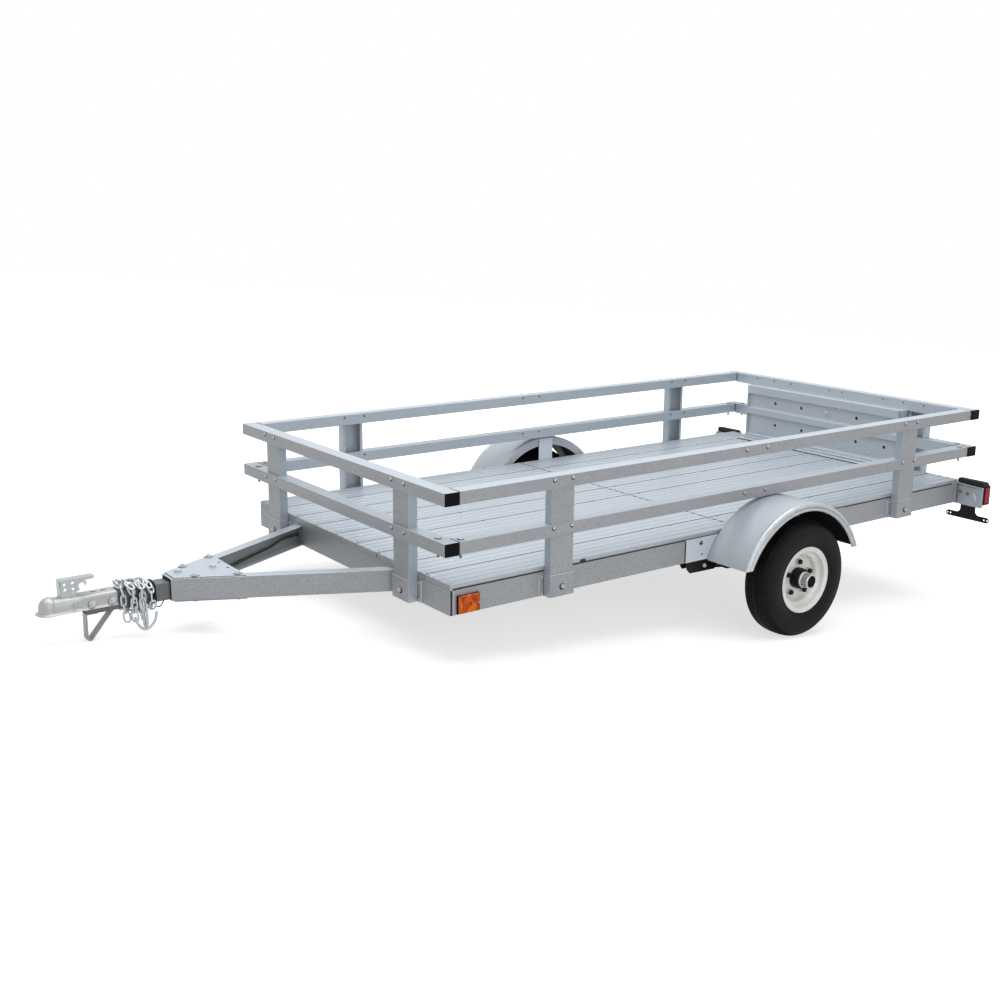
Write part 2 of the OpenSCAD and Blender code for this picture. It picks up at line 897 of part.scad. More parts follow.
// Galvanised plates on the frame's sides: one above each spring hanger, the front one with a
// tie-down hole, and an upright strap that carries the middle of the mudguard
module side_plates() {
    color(zinc)
        parked()
            both_sides()
                translate([0, half_w, 0]) {
                    difference() {
                        translate([hanger_x[0] - plate_l / 2 + 10, 0, 0])
                            cube([plate_l, plate_t, frame_h + 2]);
                        translate([tie_hole_x, plate_t + bite, tie_hole_z])
                            rotate([90, 0, 0])
                                cylinder(h = plate_t + 2 * bite, r = tie_hole_r);
                    }
                    translate([hanger_x[1] - plate_l / 2 - 10, 0, 0])
                        cube([plate_l, plate_t, frame_h + 2]);
                    translate([guard_x - brace_w / 2, 0, 2])
                        cube([brace_w, plate_t, guard_top - guard_sheet - 2 - fit_gap]);
                }
}

// ---- Suspension ----

module axle() {
    tube_half = wheel_y + hub_in_y - 15.3;
    color(dark_zinc)
        parked()
            translate([axle_x, 0, axle_z]) {
                translate([-axle_side / 2, -tube_half, -axle_side / 2])
                    cube([axle_side, 2 * tube_half, axle_side]);
                both_sides()
                    translate([0, tube_half, 0])
                        rotate([-90, 0, 0]) {
                            cylinder(h = 10, r = 19);
                            cylinder(h = wheel_y + hub_out_y - 12 - tube_half, r = spindle_r);
                        }
            }
}

// Side view of one spring: the long leaf bows down from eye to eye, and the short leaf lies
// under its middle
function leaf_low(i) = [hanger_half * i / leaf_stations,
    leaf_end_z - leaf_sag * (1 - pow(i / leaf_stations, 2))];

module leaf_pack() {
    up = [0, leaf_t];
    top = [for (i = [-leaf_stations : leaf_stations]) leaf_low(i) + up];
    low = [for (i = [leaf_stations : -1 : -leaf_stations])
        each (abs(i) < short_stations ? [leaf_low(i) - up] :
        i == short_stations ? [leaf_low(i), leaf_low(i) - up] :
        i == -short_stations ? [leaf_low(i) - up, leaf_low(i)] : [leaf_low(i)])];
    polygon(concat(top, low));
}

module leaf_springs() {
    color(dark_zinc)
        parked()
            both_sides()
                translate([axle_x, spring_y + leaf_w / 2, 0])
                    rotate([90, 0, 0])
                        difference() {
                            union() {
                                linear_extrude(leaf_w)
                                    leaf_pack();
                                for (x = [-hanger_half, hanger_half])
                                    translate([x, eye_z, 0])
                                        cylinder(h = leaf_w, r = eye_r);
                            }
                            for (x = [-hanger_half, hanger_half])
                                translate([x, eye_z, -bite])
                                    cylinder(h = leaf_w + 2 * bite, r = eye_bore_r);
                        }
}

// Black hangers: two cheeks and a top plate under the frame, with the eye bolt across them
module spring_hangers() {
    cheek = [[-hanger_l / 2, 0], [hanger_l / 2, 0], [hanger_l / 2, -4],
        [hanger_foot_l / 2, -hanger_h], [-hanger_foot_l / 2, -hanger_h], [-hanger_l / 2, -4]];
    color(black)
        parked()
            both_sides()
                for (x = hanger_x)
                    translate([x, spring_y, 0]) {
                        for (y = [-hanger_gap, hanger_gap + hanger_t])
                            translate([0, y, 0])
                                rotate([90, 0, 0])
                                    linear_extrude(hanger_t)
                                        polygon(cheek);
                        translate([-hanger_l / 2, -hanger_gap - hanger_t, -hanger_t])
                            cube([hanger_l, 2 * (hanger_gap + hanger_t), hanger_t]);
                        translate([0, hanger_gap + hanger_t, eye_z])
                            rotate([90, 0, 0])
                                cylinder(h = 2 * (hanger_gap + hanger_t), r = eye_bore_r - fit_gap);
                    }
}

// Axle clamps: a plate under the axle, a plate over the spring, and four bolts at the corners
module axle_clamps() {
    bolt_r = 5;
    top_z = axle_z + axle_side / 2 + 2 * leaf_t;
    low_z = axle_z - axle_side / 2;
    bolt_x = axle_side / 2 + bolt_r + 1;
    bolt_y = leaf_w / 2 + bolt_r + 1;
    plate = [2 * (bolt_x + bolt_r + 4), 2 * (bolt_y + bolt_r + 4), 6];
    color(dark_zinc)
        parked()
            both_sides()
                translate([axle_x, spring_y, 0]) {
                    translate([-plate[0] / 2, -plate[1] / 2, low_z - plate[2]])
                        cube(plate);
                    translate([-plate[0] / 2, -plate[1] / 2, top_z + 1])
                        cube(plate);
                    for (x = [-bolt_x, bolt_x])
                        for (y = [-bolt_y, bolt_y])
                            translate([x, y, low_z - plate[2] - 8])
                                cylinder(h = top_z - low_z + 2 * plate[2] + 12, r = bolt_r);
                }
}

// ---- Wheels, each drawn about its own centre with +Y outboard ----

module at_wheel() {
    translate([axle_x, wheel_y, axle_z])
        rotate([-90, 0, 0])
            children();
}

module tyre() {
    shoulder = 26;
    side_r = (tyre_r + bead_r) / 2;
    half = tyre_w / 2;
    tread_half = half - shoulder * 0.55;
    seat_half = rim_w / 2 - 6;
    arc = [for (a = [0 : 15 : 90])
        [tyre_r - 5 - shoulder * (1 - cos(a)), tread_half - 6 + (shoulder - 6) * sin(a)]];
    outer = concat([[tyre_r, 0], [tyre_r - 1, tread_half * 0.6]], arc,
        [[side_r + 14, half - 2], [side_r, half], [side_r - 18, half - 4],
        [flange_r + 2, rim_w / 2 + 0.5], [flange_r + 1, rim_w / 2 - 4], [bead_r + 4, seat_half],
        [bead_r + fit_gap, seat_half - 3], [bead_r + fit_gap, seat_half - 16]]);
    inner = [[bead_r + 12, seat_half - 14], [side_r, half - 9], [tyre_r - 24, half - 16],
        [tyre_r - 12, tread_half * 0.7], [tyre_r - 11, 0]];
    half_section = concat(outer, inner);
    full = concat(outer, inner, reversed([for (p = inner) if (p[1] > 0) [p[0], -p[1]]]),
        reversed([for (p = outer) if (p[1] > 0) [p[0], -p[1]]]));
    rotate_extrude($fn = 96)
        polygon(full);
}

module rim() {
    half = rim_w / 2;
    skin = 3;
    seat_half = half - 6;
    well_r = bead_r - 17;
    outer = [[flange_r, half], [flange_r, half - skin], [bead_r + 3, half - skin - 1],
        [bead_r, seat_half - 1], [bead_r, seat_half - 14], [well_r, seat_half - 24]];
    inner = [[well_r - skin, seat_half - 24], [bead_r - skin, seat_half - 12],
        [bead_r - skin, seat_half + 2], [flange_r - skin - 2, half]];
    section = concat(outer, reversed([for (p = outer) [p[0], -p[1]]]),
        [for (p = reversed(inner)) [p[0], -p[1]]], inner);
    disc = [[hub_bore_r, disc_y], [hub_flange_r, disc_y], [hub_flange_r + 8, disc_y - 8],
        [well_r - 1, disc_y - 8], [well_r - 1, disc_y - 8 - disc_t],
        [hub_flange_r + 6, disc_y - 8 - disc_t], [hub_flange_r - 1, disc_y - disc_t],
        [hub_bore_r, disc_y - disc_t]];
    difference() {
        rotate_extrude($fn = 96)
            union() {
                polygon(section);
                polygon(disc);
            }
        for (a = lug_angles)
            rotate([0, 0, a])
                translate([lug_r, 0, disc_y - disc_t - bite - 4])
                    cylinder(h = disc_t + 2 * bite + 8, r = stud_r + 0.6);
    }
}

module hub() {
    face_y = disc_y - disc_t;
    difference() {
        union() {
            translate([0, 0, hub_in_y])
                cylinder(h = hub_out_y - hub_in_y, r = hub_r);
            translate([0, 0, face_y - hub_flange_t])
                cylinder(h = hub_flange_t, r = hub_flange_r - 2);
            translate([0, 0, hub_out_y - bite])
                cylinder(h = cap_out_y - hub_out_y + bite, r = cap_r);
            for (a = lug_angles)
                rotate([0, 0, a])
                    translate([lug_r, 0, face_y - bite])
                        cylinder(h = 30 + bite, r = stud_r);
            for (a = lug_angles)
                rotate([0, 0, a])
                    translate([lug_r, 0, disc_y + fit_gap])
                        cylinder(h = 16, r = 10.5, $fn = 6);
        }
        translate([0, 0, hub_in_y - bite])
            cylinder(h = hub_out_y - hub_in_y, r = bearing_r);
    }
}

module tyre_left() {
    color(black) parked() at_wheel() tyre();
}

module rim_left() {
    color(cream) parked() at_wheel() rim();
}

module hub_left() {
    color(dark_zinc) parked() at_wheel() hub();
}

module tyre_right() {
    color(black) parked() mirror([0, 1, 0]) at_wheel() tyre();
}

module rim_right() {
    color(cream) parked() mirror([0, 1, 0]) at_wheel() rim();
}

module hub_right() {
    color(dark_zinc) parked() mirror([0, 1, 0]) at_wheel() hub();
}

// ---- Lamps ----

// A plate behind the rear crossmember that reaches out past the frame, with its edges turned back
module lamp_bracket() {
    width = bracket_in + lamp_out;
    height = bracket_top - bracket_z;
    translate([-frame_l - bracket_t, half_w - bracket_in, bracket_z])
        cube([bracket_t, width, height]);
    translate([-frame_l - bracket_lip, half_w + fit_gap, bracket_top - bracket_t])
        cube([bracket_lip, lamp_out - fit_gap, bracket_t]);
    translate([-frame_l - bracket_lip, half_w + lamp_out - bracket_t, bracket_z])
        cube([bracket_lip, bracket_t, height]);
}

module tail_lamp_brackets() {
    color(zinc) parked() both_sides() lamp_bracket();
}

// Lamp body with a sloping top and a short base that meets the bracket
module tail_lamp() {
    side = [[lamp_front_x, lamp_z], [lamp_back_x, lamp_z], [lamp_back_x, lamp_z + lamp_h * 0.8],
        [lamp_back_x + lamp_depth * 0.4, lamp_z + lamp_h], [lamp_front_x, lamp_z + lamp_h]];
    translate([0, lamp_mid_y + lamp_w / 2, 0])
        rotate([90, 0, 0])
            linear_extrude(lamp_w)
                polygon(side);
    translate([lamp_front_x - bite, lamp_mid_y - lamp_w / 4, lamp_z + 12])
        cube([-frame_l - bracket_t - lamp_front_x + bite, lamp_w / 2, lamp_h / 2]);
}

module tail_lamps() {
    color([0.55, 0.05, 0.06]) parked() both_sides() tail_lamp();
}

module side_markers() {
    color([0.95, 0.55, 0.10])
        parked()
            both_sides()
                translate([-22 - marker_l, half_w, 2])
                    cube([marker_l, marker_t, marker_h]);
}

// Black T-shaped plate bracket under the left lamp, held between lamp base and lamp bracket
module licence_bracket() {
    mid_y = 661;
    bar_z = -50;
    bar_h = 22;
    stem_w = 66;
    bar_half = plate_pitch / 2 + 7;
    hole_r = 3.5;
    color(black)
        parked()
            translate([-frame_l - 2 * bracket_t, mid_y, 0])
                difference() {
                    union() {
                        translate([0, -stem_w / 2, bar_z])
                            cube([bracket_t, stem_w, -bar_z + 12]);
                        translate([0, -bar_half + bar_h / 2, bar_z - bar_h / 2])
                            cube([bracket_t, 2 * bar_half - bar_h, bar_h]);
                        for (s = [-1, 1])
                            translate([0, s * (bar_half - bar_h / 2), bar_z])
                                rotate([0, 90, 0])
                                    cylinder(h = bracket_t, r = bar_h / 2);
                    }
                    for (y = [-plate_pitch / 2, plate_pitch / 2])
                        translate([-bite, y, bar_z])
                            rotate([0, 90, 0])
                                cylinder(h = bracket_t + 2 * bite, r = hole_r);
                    for (y = [-plate_pitch / 2 + 14, plate_pitch / 2 - 14])
                        translate([-bite, y, bar_z])
                            rotate([0, 90, 0])
                                cylinder(h = bracket_t + 2 * bite, r = hole_r);
                }
}

// ---- Gate ----

// Knuckles along the hinge line; the gate takes the odd ones and the deck plate the even ones
module knuckles(first) {
    for (i = [first : 2 : knuckle_n - 1])
        translate([0, gate_y - gate_w / 2 + i * knuckle_l + knuckle_gap / 2, 0])
            children();
}

module knuckle(r) {
    translate([hinge_x, 0, hinge_z])
        rotate([-90, 0, 0])
            cylinder(h = knuckle_l - knuckle_gap, r = r);
}

// A shallow pan of ribbed sheet, open to the rear, with two stiffeners and rows of round holes
module gate_panel() {
    stiff_t = 3;
    color(zinc)
        parked() {
            difference() {
                translate([gate_back_x, gate_y - gate_w / 2, gate_low_z])
                    cube([gate_depth, gate_w, gate_h]);
                difference() {
                    translate([gate_back_x - bite, gate_y - gate_w / 2 + gate_sheet,
                        gate_low_z + gate_sheet])
                        cube([gate_depth + bite - gate_sheet, gate_w - 2 * gate_sheet,
                            gate_h - 2 * gate_sheet]);
                    for (z = [gate_h / 3, gate_h * 2 / 3])
                        translate([gate_back_x, gate_y - gate_w / 2, gate_low_z + z])
                            cube([gate_depth, gate_w, stiff_t]);
                }
                for (z = gate_hole_zs)
                    for (i = [-2 : 2])
                        if (i != 0 || z == gate_hole_zs[1])
                            translate([gate_front_x - gate_sheet - bite,
                                gate_y + 45 + i * gate_hole_pitch, hinge_z + z])
                                rotate([0, 90, 0])
                                    cylinder(h = gate_sheet + 2 * bite, r = gate_hole_r);
            }
            difference() {
                knuckles(1) {
                    knuckle(hinge_r);
                    translate([gate_front_x, 0, hinge_z])
                        cube([hinge_x - gate_front_x, knuckle_l - knuckle_gap, hinge_r]);
                }
                translate([hinge_x, gate_y - gate_w / 2 - bite, hinge_z])
                    rotate([-90, 0, 0])
                        cylinder(h = gate_w + 2 * bite, r = hinge_pin_r + pin_gap);
            }
        }
}

module gate_hinge_plate() {
    color(zinc)
        parked() {
            translate([hinge_x + hinge_r + fit_gap, gate_y - gate_w / 2, deck_z])
                cube([foot_plate_l - hinge_r, gate_w, foot_plate_t]);
            difference() {
                knuckles(0) {
                    knuckle(hinge_r);
                    translate([hinge_x, 0, deck_z])
                        cube([hinge_r + 2, knuckle_l - knuckle_gap, foot_plate_t]);
                }
            }
            translate([hinge_x, gate_y - gate_w / 2 + 1, hinge_z])
                rotate([-90, 0, 0])
                    cylinder(h = gate_w - 2, r = hinge_pin_r);
        }
}

// Pull latch in the middle of the gate's face
module gate_latch() {
    plate = [3, 46, 30];
    color(dark_zinc)
        parked()
            translate([gate_front_x, gate_y + 45, hinge_z + gate_hole_zs[0]]) {
                translate([0, -plate[1] / 2, -plate[2] / 2])
                    cube(plate);
                translate([plate[0] - 0.5, -12, -6])
                    cube([4.5, 24, 12]);
            }
}

front_crossmember();
rear_crossmember();
side_frame_left();
side_frame_right();
deck_joists();
deck_planks_front();
deck_planks_rear();
tongue_beam_left();
tongue_beam_right();
tongue_gusset();
tongue_tube();
coupler_body();
coupler_latch();
tongue_stand();
safety_chains();
wiring_harness();
post_pockets();
front_posts();
rear_posts();
left_posts();
right_posts();
front_rails();
rear_rails();
left_rails();
right_rails();
rail_caps();
fender_left();
fender_right();
side_plates();
axle();
leaf_springs();
spring_hangers();
axle_clamps();
tyre_left();
rim_left();
hub_left();
tyre_right();
rim_right();
hub_right();
tail_lamp_brackets();
tail_lamps();
side_markers();
licence_bracket();
gate_panel();
gate_hinge_plate();
gate_latch();
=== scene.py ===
import json
import math

import bpy
from mathutils import Matrix, Vector


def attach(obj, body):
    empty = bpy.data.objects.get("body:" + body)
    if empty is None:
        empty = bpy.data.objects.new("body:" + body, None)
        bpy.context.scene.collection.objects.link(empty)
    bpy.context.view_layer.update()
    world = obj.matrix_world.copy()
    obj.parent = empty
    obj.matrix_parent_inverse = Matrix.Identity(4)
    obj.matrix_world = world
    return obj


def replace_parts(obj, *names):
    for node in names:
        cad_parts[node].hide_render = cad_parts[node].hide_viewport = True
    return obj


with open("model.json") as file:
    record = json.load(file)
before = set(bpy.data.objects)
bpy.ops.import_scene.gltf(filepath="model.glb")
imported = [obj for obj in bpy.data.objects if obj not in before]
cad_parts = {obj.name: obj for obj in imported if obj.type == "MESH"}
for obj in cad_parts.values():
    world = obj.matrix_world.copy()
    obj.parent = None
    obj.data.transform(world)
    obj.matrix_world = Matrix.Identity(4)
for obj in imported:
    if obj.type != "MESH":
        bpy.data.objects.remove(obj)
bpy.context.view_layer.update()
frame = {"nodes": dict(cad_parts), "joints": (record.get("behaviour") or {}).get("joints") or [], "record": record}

nodes = frame["nodes"]


# ---- How it is parked ----
# The trailer is measured level, with X forward from the front of its frame, Y to the left and
# Z up from the frame's underside. It stands nose-low on its tyres and on the stand under the
# coupler, so everything made here is set down by the same turn about the axle.
socket = next(m for m in frame["record"]["mounts"] if m["name"] == "coupler_socket")
spin = next(j for j in frame["joints"] if j["name"] == "wheel_left_spin")
AXLE_X, AXLE_Z = -1.338, -0.085
nose_down = math.atan2(-socket["axis"][0], -socket["axis"][2])
parked = (
    Matrix.Translation((spin["pos_m"][0], 0, spin["pos_m"][2]))
    @ Matrix.Rotation(nose_down, 4, "Y")
    @ Matrix.Translation((-AXLE_X, 0, -AXLE_Z))
)


# ---- Studio ----
# A pale floor, one broad soft light overhead and a weaker one from the camera's left. Floor and
# world are white to the camera and in reflections, and no brighter than that on the trailer.
view_yaw, view_pitch, view_roll = -2.21134645, 0.232124097, 0.010827711
ahead = Vector((math.cos(view_yaw) * math.cos(view_pitch),
                math.sin(view_yaw) * math.cos(view_pitch), -math.sin(view_pitch)))
level_right = Vector((math.sin(view_yaw), -math.cos(view_yaw), 0))
level_up = level_right.cross(ahead)
right = level_right * math.cos(view_roll) + level_up * math.sin(view_roll)
up = level_up * math.cos(view_roll) - level_right * math.sin(view_roll)
camera_data = bpy.data.cameras.new("camera")
camera_data.sensor_width = 36
camera_data.lens = 45.4255
camera_data.shift_x = -0.00627
camera_data.shift_y = -0.01219
camera = bpy.data.objects.new("camera", camera_data)
bpy.context.scene.collection.objects.link(camera)
turned = Matrix((right, up, -ahead)).transposed().to_4x4()
camera.matrix_world = parked @ Matrix.Translation((1.9293, 3.4616, 1.1945)) @ turned
bpy.context.scene.camera = camera

bpy.context.scene.view_settings.view_transform = "Standard"


def add_light(name, at, size, watts, target, colour):
    data = bpy.data.lights.new(name, "AREA")
    data.shape = "DISK"
    data.size = size
    data.energy = watts
    data.color = colour
    lamp = bpy.data.objects.new(name, data)
    bpy.context.scene.collection.objects.link(lamp)
    lamp.location = at
    lamp.rotation_euler = (Vector(target) - Vector(at)).to_track_quat("-Z", "Y").to_euler()


add_light("overhead", (0.3, 0.0, 5.6), 7.5, 430, (0, 0, 0), (0.93, 0.97, 1.0))
add_light("from_the_left", (2.0, 6.0, 2.4), 3.5, 75, (0, 0, 0.3), (1, 1, 1))


def add_node(tree, kind, sockets=None, **settings):
    """A shader node, its inputs set to values or linked from other nodes' outputs."""
    made = tree.nodes.new("ShaderNode" + kind)
    for label, value in settings.items():
        setattr(made, label, value)
    for label, source in (sockets or {}).items():
        if isinstance(source, bpy.types.NodeSocket):
            tree.links.new(source, made.inputs[label])
        else:
            made.inputs[label].default_value = source
    return made


def maths(tree, operation, *values):
    return add_node(tree, "Math", dict(enumerate(values)), operation=operation).outputs[0]


def mapped(tree, value, low, high, to_low, to_high, **settings):
    return add_node(tree, "MapRange", {"Value": value, "From Min": low, "From Max": high,
                                       "To Min": to_low, "To Max": to_high},
                    **settings).outputs["Result"]


def seen_directly(tree):
    """1 for camera, mirror and glass rays, 0 for the light that falls on the trailer."""
    rays = add_node(tree, "LightPath").outputs
    either = maths(tree, "MAXIMUM", rays["Is Camera Ray"], rays["Is Glossy Ray"])
    return maths(tree, "MAXIMUM", either, rays["Is Transmission Ray"])


world = bpy.data.worlds.new("studio")
bpy.context.scene.world = world
world.use_nodes = True
tree = world.node_tree
AMBIENT = 0.42  # how bright the white world is as a light
backdrop = tree.nodes["Background"]
backdrop.inputs["Color"].default_value = (1, 1, 1, 1)
tree.links.new(mapped(tree, seen_directly(tree), 0, 1, AMBIENT, 1), backdrop.inputs["Strength"])

bpy.ops.mesh.primitive_plane_add(size=60, location=(0, 0, 0))
floor = bpy.context.object
floor.name = "floor"
paper = bpy.data.materials.new("pale_paper")
paper.use_nodes = True
tree = paper.node_tree
tree.nodes.remove(tree.nodes["Principled BSDF"])
matt = add_node(tree, "BsdfDiffuse", {"Color": (0.5, 0.5, 0.5, 1)})
from_middle = add_node(tree, "VectorMath", {0: add_node(tree, "TexCoord").outputs["Object"]},
                       operation="LENGTH").outputs["Value"]
NEAR, FAR = 1.6, 4.2  # the glow rises between these distances, so that the shadow shows
away = mapped(tree, from_middle, NEAR, FAR, 0.66, 1.1, interpolation_type="SMOOTHSTEP")
glow = add_node(tree, "Emission", {"Strength": maths(tree, "MULTIPLY", seen_directly(tree), away)})
both = add_node(tree, "AddShader", {0: matt.outputs[0], 1: glow.outputs[0]})
tree.links.new(both.outputs[0], tree.nodes["Material Output"].inputs["Surface"])
floor.data.materials.append(paper)


# ---- Frame, posts and rails ----
# Channels, posts and rails roll-formed from hot-dip galvanised strip. The zinc has a fine
# mottled spangle, and the bends are rounded. The channels bolt together with small gaps.
def new_group(name, inputs, outputs):
    group = bpy.data.node_groups.new(name, "ShaderNodeTree")
    for label, value in inputs:
        made = group.interface.new_socket(label, in_out="INPUT", socket_type="NodeSocketFloat")
        made.default_value = value
    for label in outputs:
        group.interface.new_socket(label, in_out="OUTPUT", socket_type="NodeSocketFloat")
    return group, group.nodes.new("NodeGroupInput"), group.nodes.new("NodeGroupOutput")


def noise(tree, scale, detail=2.0):
    """Cloudy noise laid out in the piece's own metres."""
    where = add_node(tree, "TexCoord").outputs["Object"]
    return add_node(tree, "TexNoise", {"Vector": where, "Scale": scale, "Detail": detail}).outputs


def blended(tree, pairs):
    """Adds up several values, each times its share."""
    total = 0
    for value, share in pairs:
        total = maths(tree, "MULTIPLY_ADD", value, share, total)
    return total


# Zinc spangle: crystal patches a few millimetres across, a fine grain and a slow cloudiness
spangle, given, out = new_group("zinc_spangle", [("Patch Scale", 320), ("Contrast", 0.5)],
                                ["Tone", "Height"])
WOBBLE = 0.003  # how far the patches' borders wander
bent = add_node(spangle, "VectorMath", {0: noise(spangle, 60)["Color"], 1: (WOBBLE,) * 3,
                                        2: add_node(spangle, "TexCoord").outputs["Object"]},
                operation="MULTIPLY_ADD")
patches = add_node(spangle, "TexVoronoi", {"Vector": bent.outputs[0],
                                           "Scale": given.outputs["Patch Scale"]})
patch_tone = add_node(spangle, "SeparateColor", {"Color": patches.outputs["Color"]}).outputs
grain, cloud = noise(spangle, 380, 3)["Fac"], noise(spangle, 5, 4)["Fac"]
mottle = blended(spangle, [(patch_tone[0], 0.3), (grain, 0.6), (cloud, 0.2)])
contrast = given.outputs["Contrast"]
centred = mapped(spangle, mottle, 0.3, 0.8, maths(spangle, "MULTIPLY", contrast, -1), contrast)
tone = add_node(spangle, "Math", {0: centred, 1: 0.5}, use_clamp=True)
spangle.links.new(tone.outputs[0], out.inputs["Tone"])
spangle.links.new(blended(spangle, [(patch_tone[1], 0.4), (grain, 0.6)]), out.inputs["Height"])


def new_material(name):
    material = bpy.data.materials.new(name)
    material.use_nodes = True
    return material, material.node_tree, material.node_tree.nodes["Principled BSDF"]


def place_group(tree, group, **values):
    return add_node(tree, "Group", {label.replace("_", " "): value
                                    for label, value in values.items()}, node_tree=group).outputs


def mixed(tree, factor, *colours, **settings):
    first, second = ((*c, 1) if isinstance(c, tuple) else c for c in colours)
    return add_node(tree, "Mix", {"Factor": factor, "A": first, "B": second}, data_type="RGBA",
                    **settings).outputs["Result"]


def two_tones(tree, shader, mask, dark, light):
    tree.links.new(mixed(tree, mask, dark, light), shader.inputs["Base Color"])


def roughened(tree, shader, mask, low, high):
    tree.links.new(mapped(tree, mask, 0, 1, low, high), shader.inputs["Roughness"])


def bumped(tree, shader, height, distance, strength):
    bump = add_node(tree, "Bump", {"Distance": distance, "Strength": strength, "Height": height})
    tree.links.new(bump.outputs["Normal"], shader.inputs["Normal"])


def zinc_coat(name, dark, light, metallic=0.3, rough=(0.42, 0.56), patch=320, contrast=0.45):
    material, tree, shader = new_material(name)
    zinc = place_group(tree, spangle, Patch_Scale=patch, Contrast=contrast)
    two_tones(tree, shader, zinc["Tone"], dark, light)
    roughened(tree, shader, zinc["Tone"], *rough)
    bumped(tree, shader, zinc["Height"], 0.0006, 0.12)
    shader.inputs["Metallic"].default_value = metallic
    return material


# Where the trailer's outer faces are, and which faces stand upright: the outer webs get darker
# grey tones as painted shade, and every face turned in or up lighter, bluer ones as painted light
faces, given, out = new_group("face_finish", [], ["Outer", "Upright"])
facing = add_node(faces, "SeparateXYZ",
                  {0: add_node(faces, "NewGeometry").outputs["True Normal"]}).outputs
where = add_node(faces, "SeparateXYZ",
                 {0: add_node(faces, "TexCoord").outputs["Object"]}).outputs
deck_middle = parked @ Vector((-1.22, 0, 0.1))
shares = []
for offset, normal, edge in ((where["Y"], facing["Y"], 0.6),
                             (maths(faces, "SUBTRACT", where["X"], deck_middle.x),
                              facing["X"], 1.185)):
    outwards = maths(faces, "MULTIPLY", maths(faces, "SIGN", offset), normal)
    at_edge = maths(faces, "GREATER_THAN", maths(faces, "ABSOLUTE", offset), edge)
    shares.append(maths(faces, "MULTIPLY", outwards, at_edge))
faces.links.new(mapped(faces, maths(faces, "MAXIMUM", *shares), 0.45, 0.75, 0, 1),
                out.inputs["Outer"])
faces.links.new(mapped(faces, facing["Z"], 0.75, 0.45, 0, 1), out.inputs["Upright"])


def lit_and_shaded_zinc(name, which, shaded_tones=((0.255, 0.262, 0.276), (0.385, 0.396, 0.414)),
               lit_tones=((0.385, 0.426, 0.47), (0.475, 0.52, 0.57))):
    """Zinc lit and shaded by face: darker grey tones as painted shade, and a little rougher, where the named face
    mask says; lighter, bluer tones as painted light everywhere else.
    """
    material, tree, shader = new_material(name)
    zinc = place_group(tree, spangle)
    mask = place_group(tree, faces)[which]
    chosen = mixed(tree, mask, mixed(tree, zinc["Tone"], *lit_tones), mixed(tree, zinc["Tone"], *shaded_tones))
    tree.links.new(chosen, shader.inputs["Base Color"])
    roughened(tree, shader, mask, 0.4, 0.52)
    bumped(tree, shader, zinc["Height"], 0.0006, 0.14)
    shader.inputs["Metallic"].default_value = 0.3
    return material


# Outer faces darker, faces turned in or up lighter: painted shade and painted light
frame_zinc = lit_and_shaded_zinc("galvanised_frame", "Outer")


def finish_node(node, material, width=0.0012, segments=2):
    """Welds a frame node's triangles into flat faces, rounds its bends and gives its finish."""
    piece = nodes[node]
    weld = piece.modifiers.new("weld", "WELD")
    weld.merge_threshold = 0.00002
    flat = piece.modifiers.new("flat_faces", "DECIMATE")
    flat.decimate_type = "DISSOLVE"
    flat.angle_limit = math.radians(0.5)
    bend = piece.modifiers.new("bends", "BEVEL")
    bend.width = width
    bend.segments = segments
    bend.limit_method = "ANGLE"
    bend.angle_limit = math.radians(35)
    piece.data.materials.clear()
    piece.data.materials.append(material)


for node in ("front_crossmember", "rear_crossmember", "side_frame_left", "side_frame_right",
             "deck_joists", "front_posts", "rear_posts", "left_posts", "right_posts",
             "post_pockets"):
    finish_node(node, frame_zinc)
for node in ("front_rails", "rear_rails", "left_rails", "right_rails"):
    finish_node(node, frame_zinc, 0.0015)


# Black strips at the frame's corners, where the end channels and side channels meet, and along the deck's edges:
# painted shade in the gaps there
def painted_shade_material(name, scale, dark, light, shine=0.5):
    material, tree, shader = new_material(name)
    two_tones(tree, shader, noise(tree, scale)["Fac"], dark, light)
    shader.inputs["Roughness"].default_value = 0.8
    shader.inputs["Specular IOR Level"].default_value = shine
    return material


painted_shade_black = painted_shade_material("shadowed_gap", 90, (0.012, 0.012, 0.013), (0.03, 0.03, 0.032))


def pick(*pieces):
    bpy.ops.object.select_all(action="DESELECT")
    for piece in pieces:
        piece.select_set(True)
    bpy.context.view_layer.objects.active = pieces[0]


def applied(piece, kind, **settings):
    """Adds a modifier with these settings and applies it."""
    modifier = piece.modifiers.new(kind.lower(), kind)
    for label, value in settings.items():
        setattr(modifier, label, value)
    pick(piece)
    bpy.ops.object.modifier_apply(modifier=modifier.name)
    return piece


def bar(corner, opposite, bevel=0.0005):
    """A plain bar between two opposite corners, its edges eased."""
    low = Vector([min(pair) for pair in zip(corner, opposite)])
    high = Vector([max(pair) for pair in zip(corner, opposite)])
    bpy.ops.object.select_all(action="DESELECT")
    bpy.ops.mesh.primitive_cube_add(size=1, location=(low + high) / 2)
    piece = bpy.context.object
    piece.scale = high - low
    bpy.ops.object.transform_apply(location=True, rotation=True, scale=True)
    return applied(piece, "BEVEL", width=bevel, segments=2) if bevel else piece


def joined(pieces):
    """One object made of all the pieces. A single piece stays as it is."""
    pieces = pieces if isinstance(pieces, list) else [pieces]
    pick(*pieces)
    if len(pieces) > 1:
        bpy.ops.object.join()
    return bpy.context.object


def set_down(pieces, name, material, body="chassis", place=Matrix.Identity(4)):
    """Puts a finished piece in its place on the parked trailer and fixes it to its body."""
    piece = joined(pieces)
    piece.name = piece.data.name = name
    piece.data.transform(parked @ place @ piece.matrix_world)
    piece.matrix_world = Matrix.Identity(4)
    piece.data.materials.clear()
    piece.data.materials.append(material)
    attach(piece, body)
    return piece
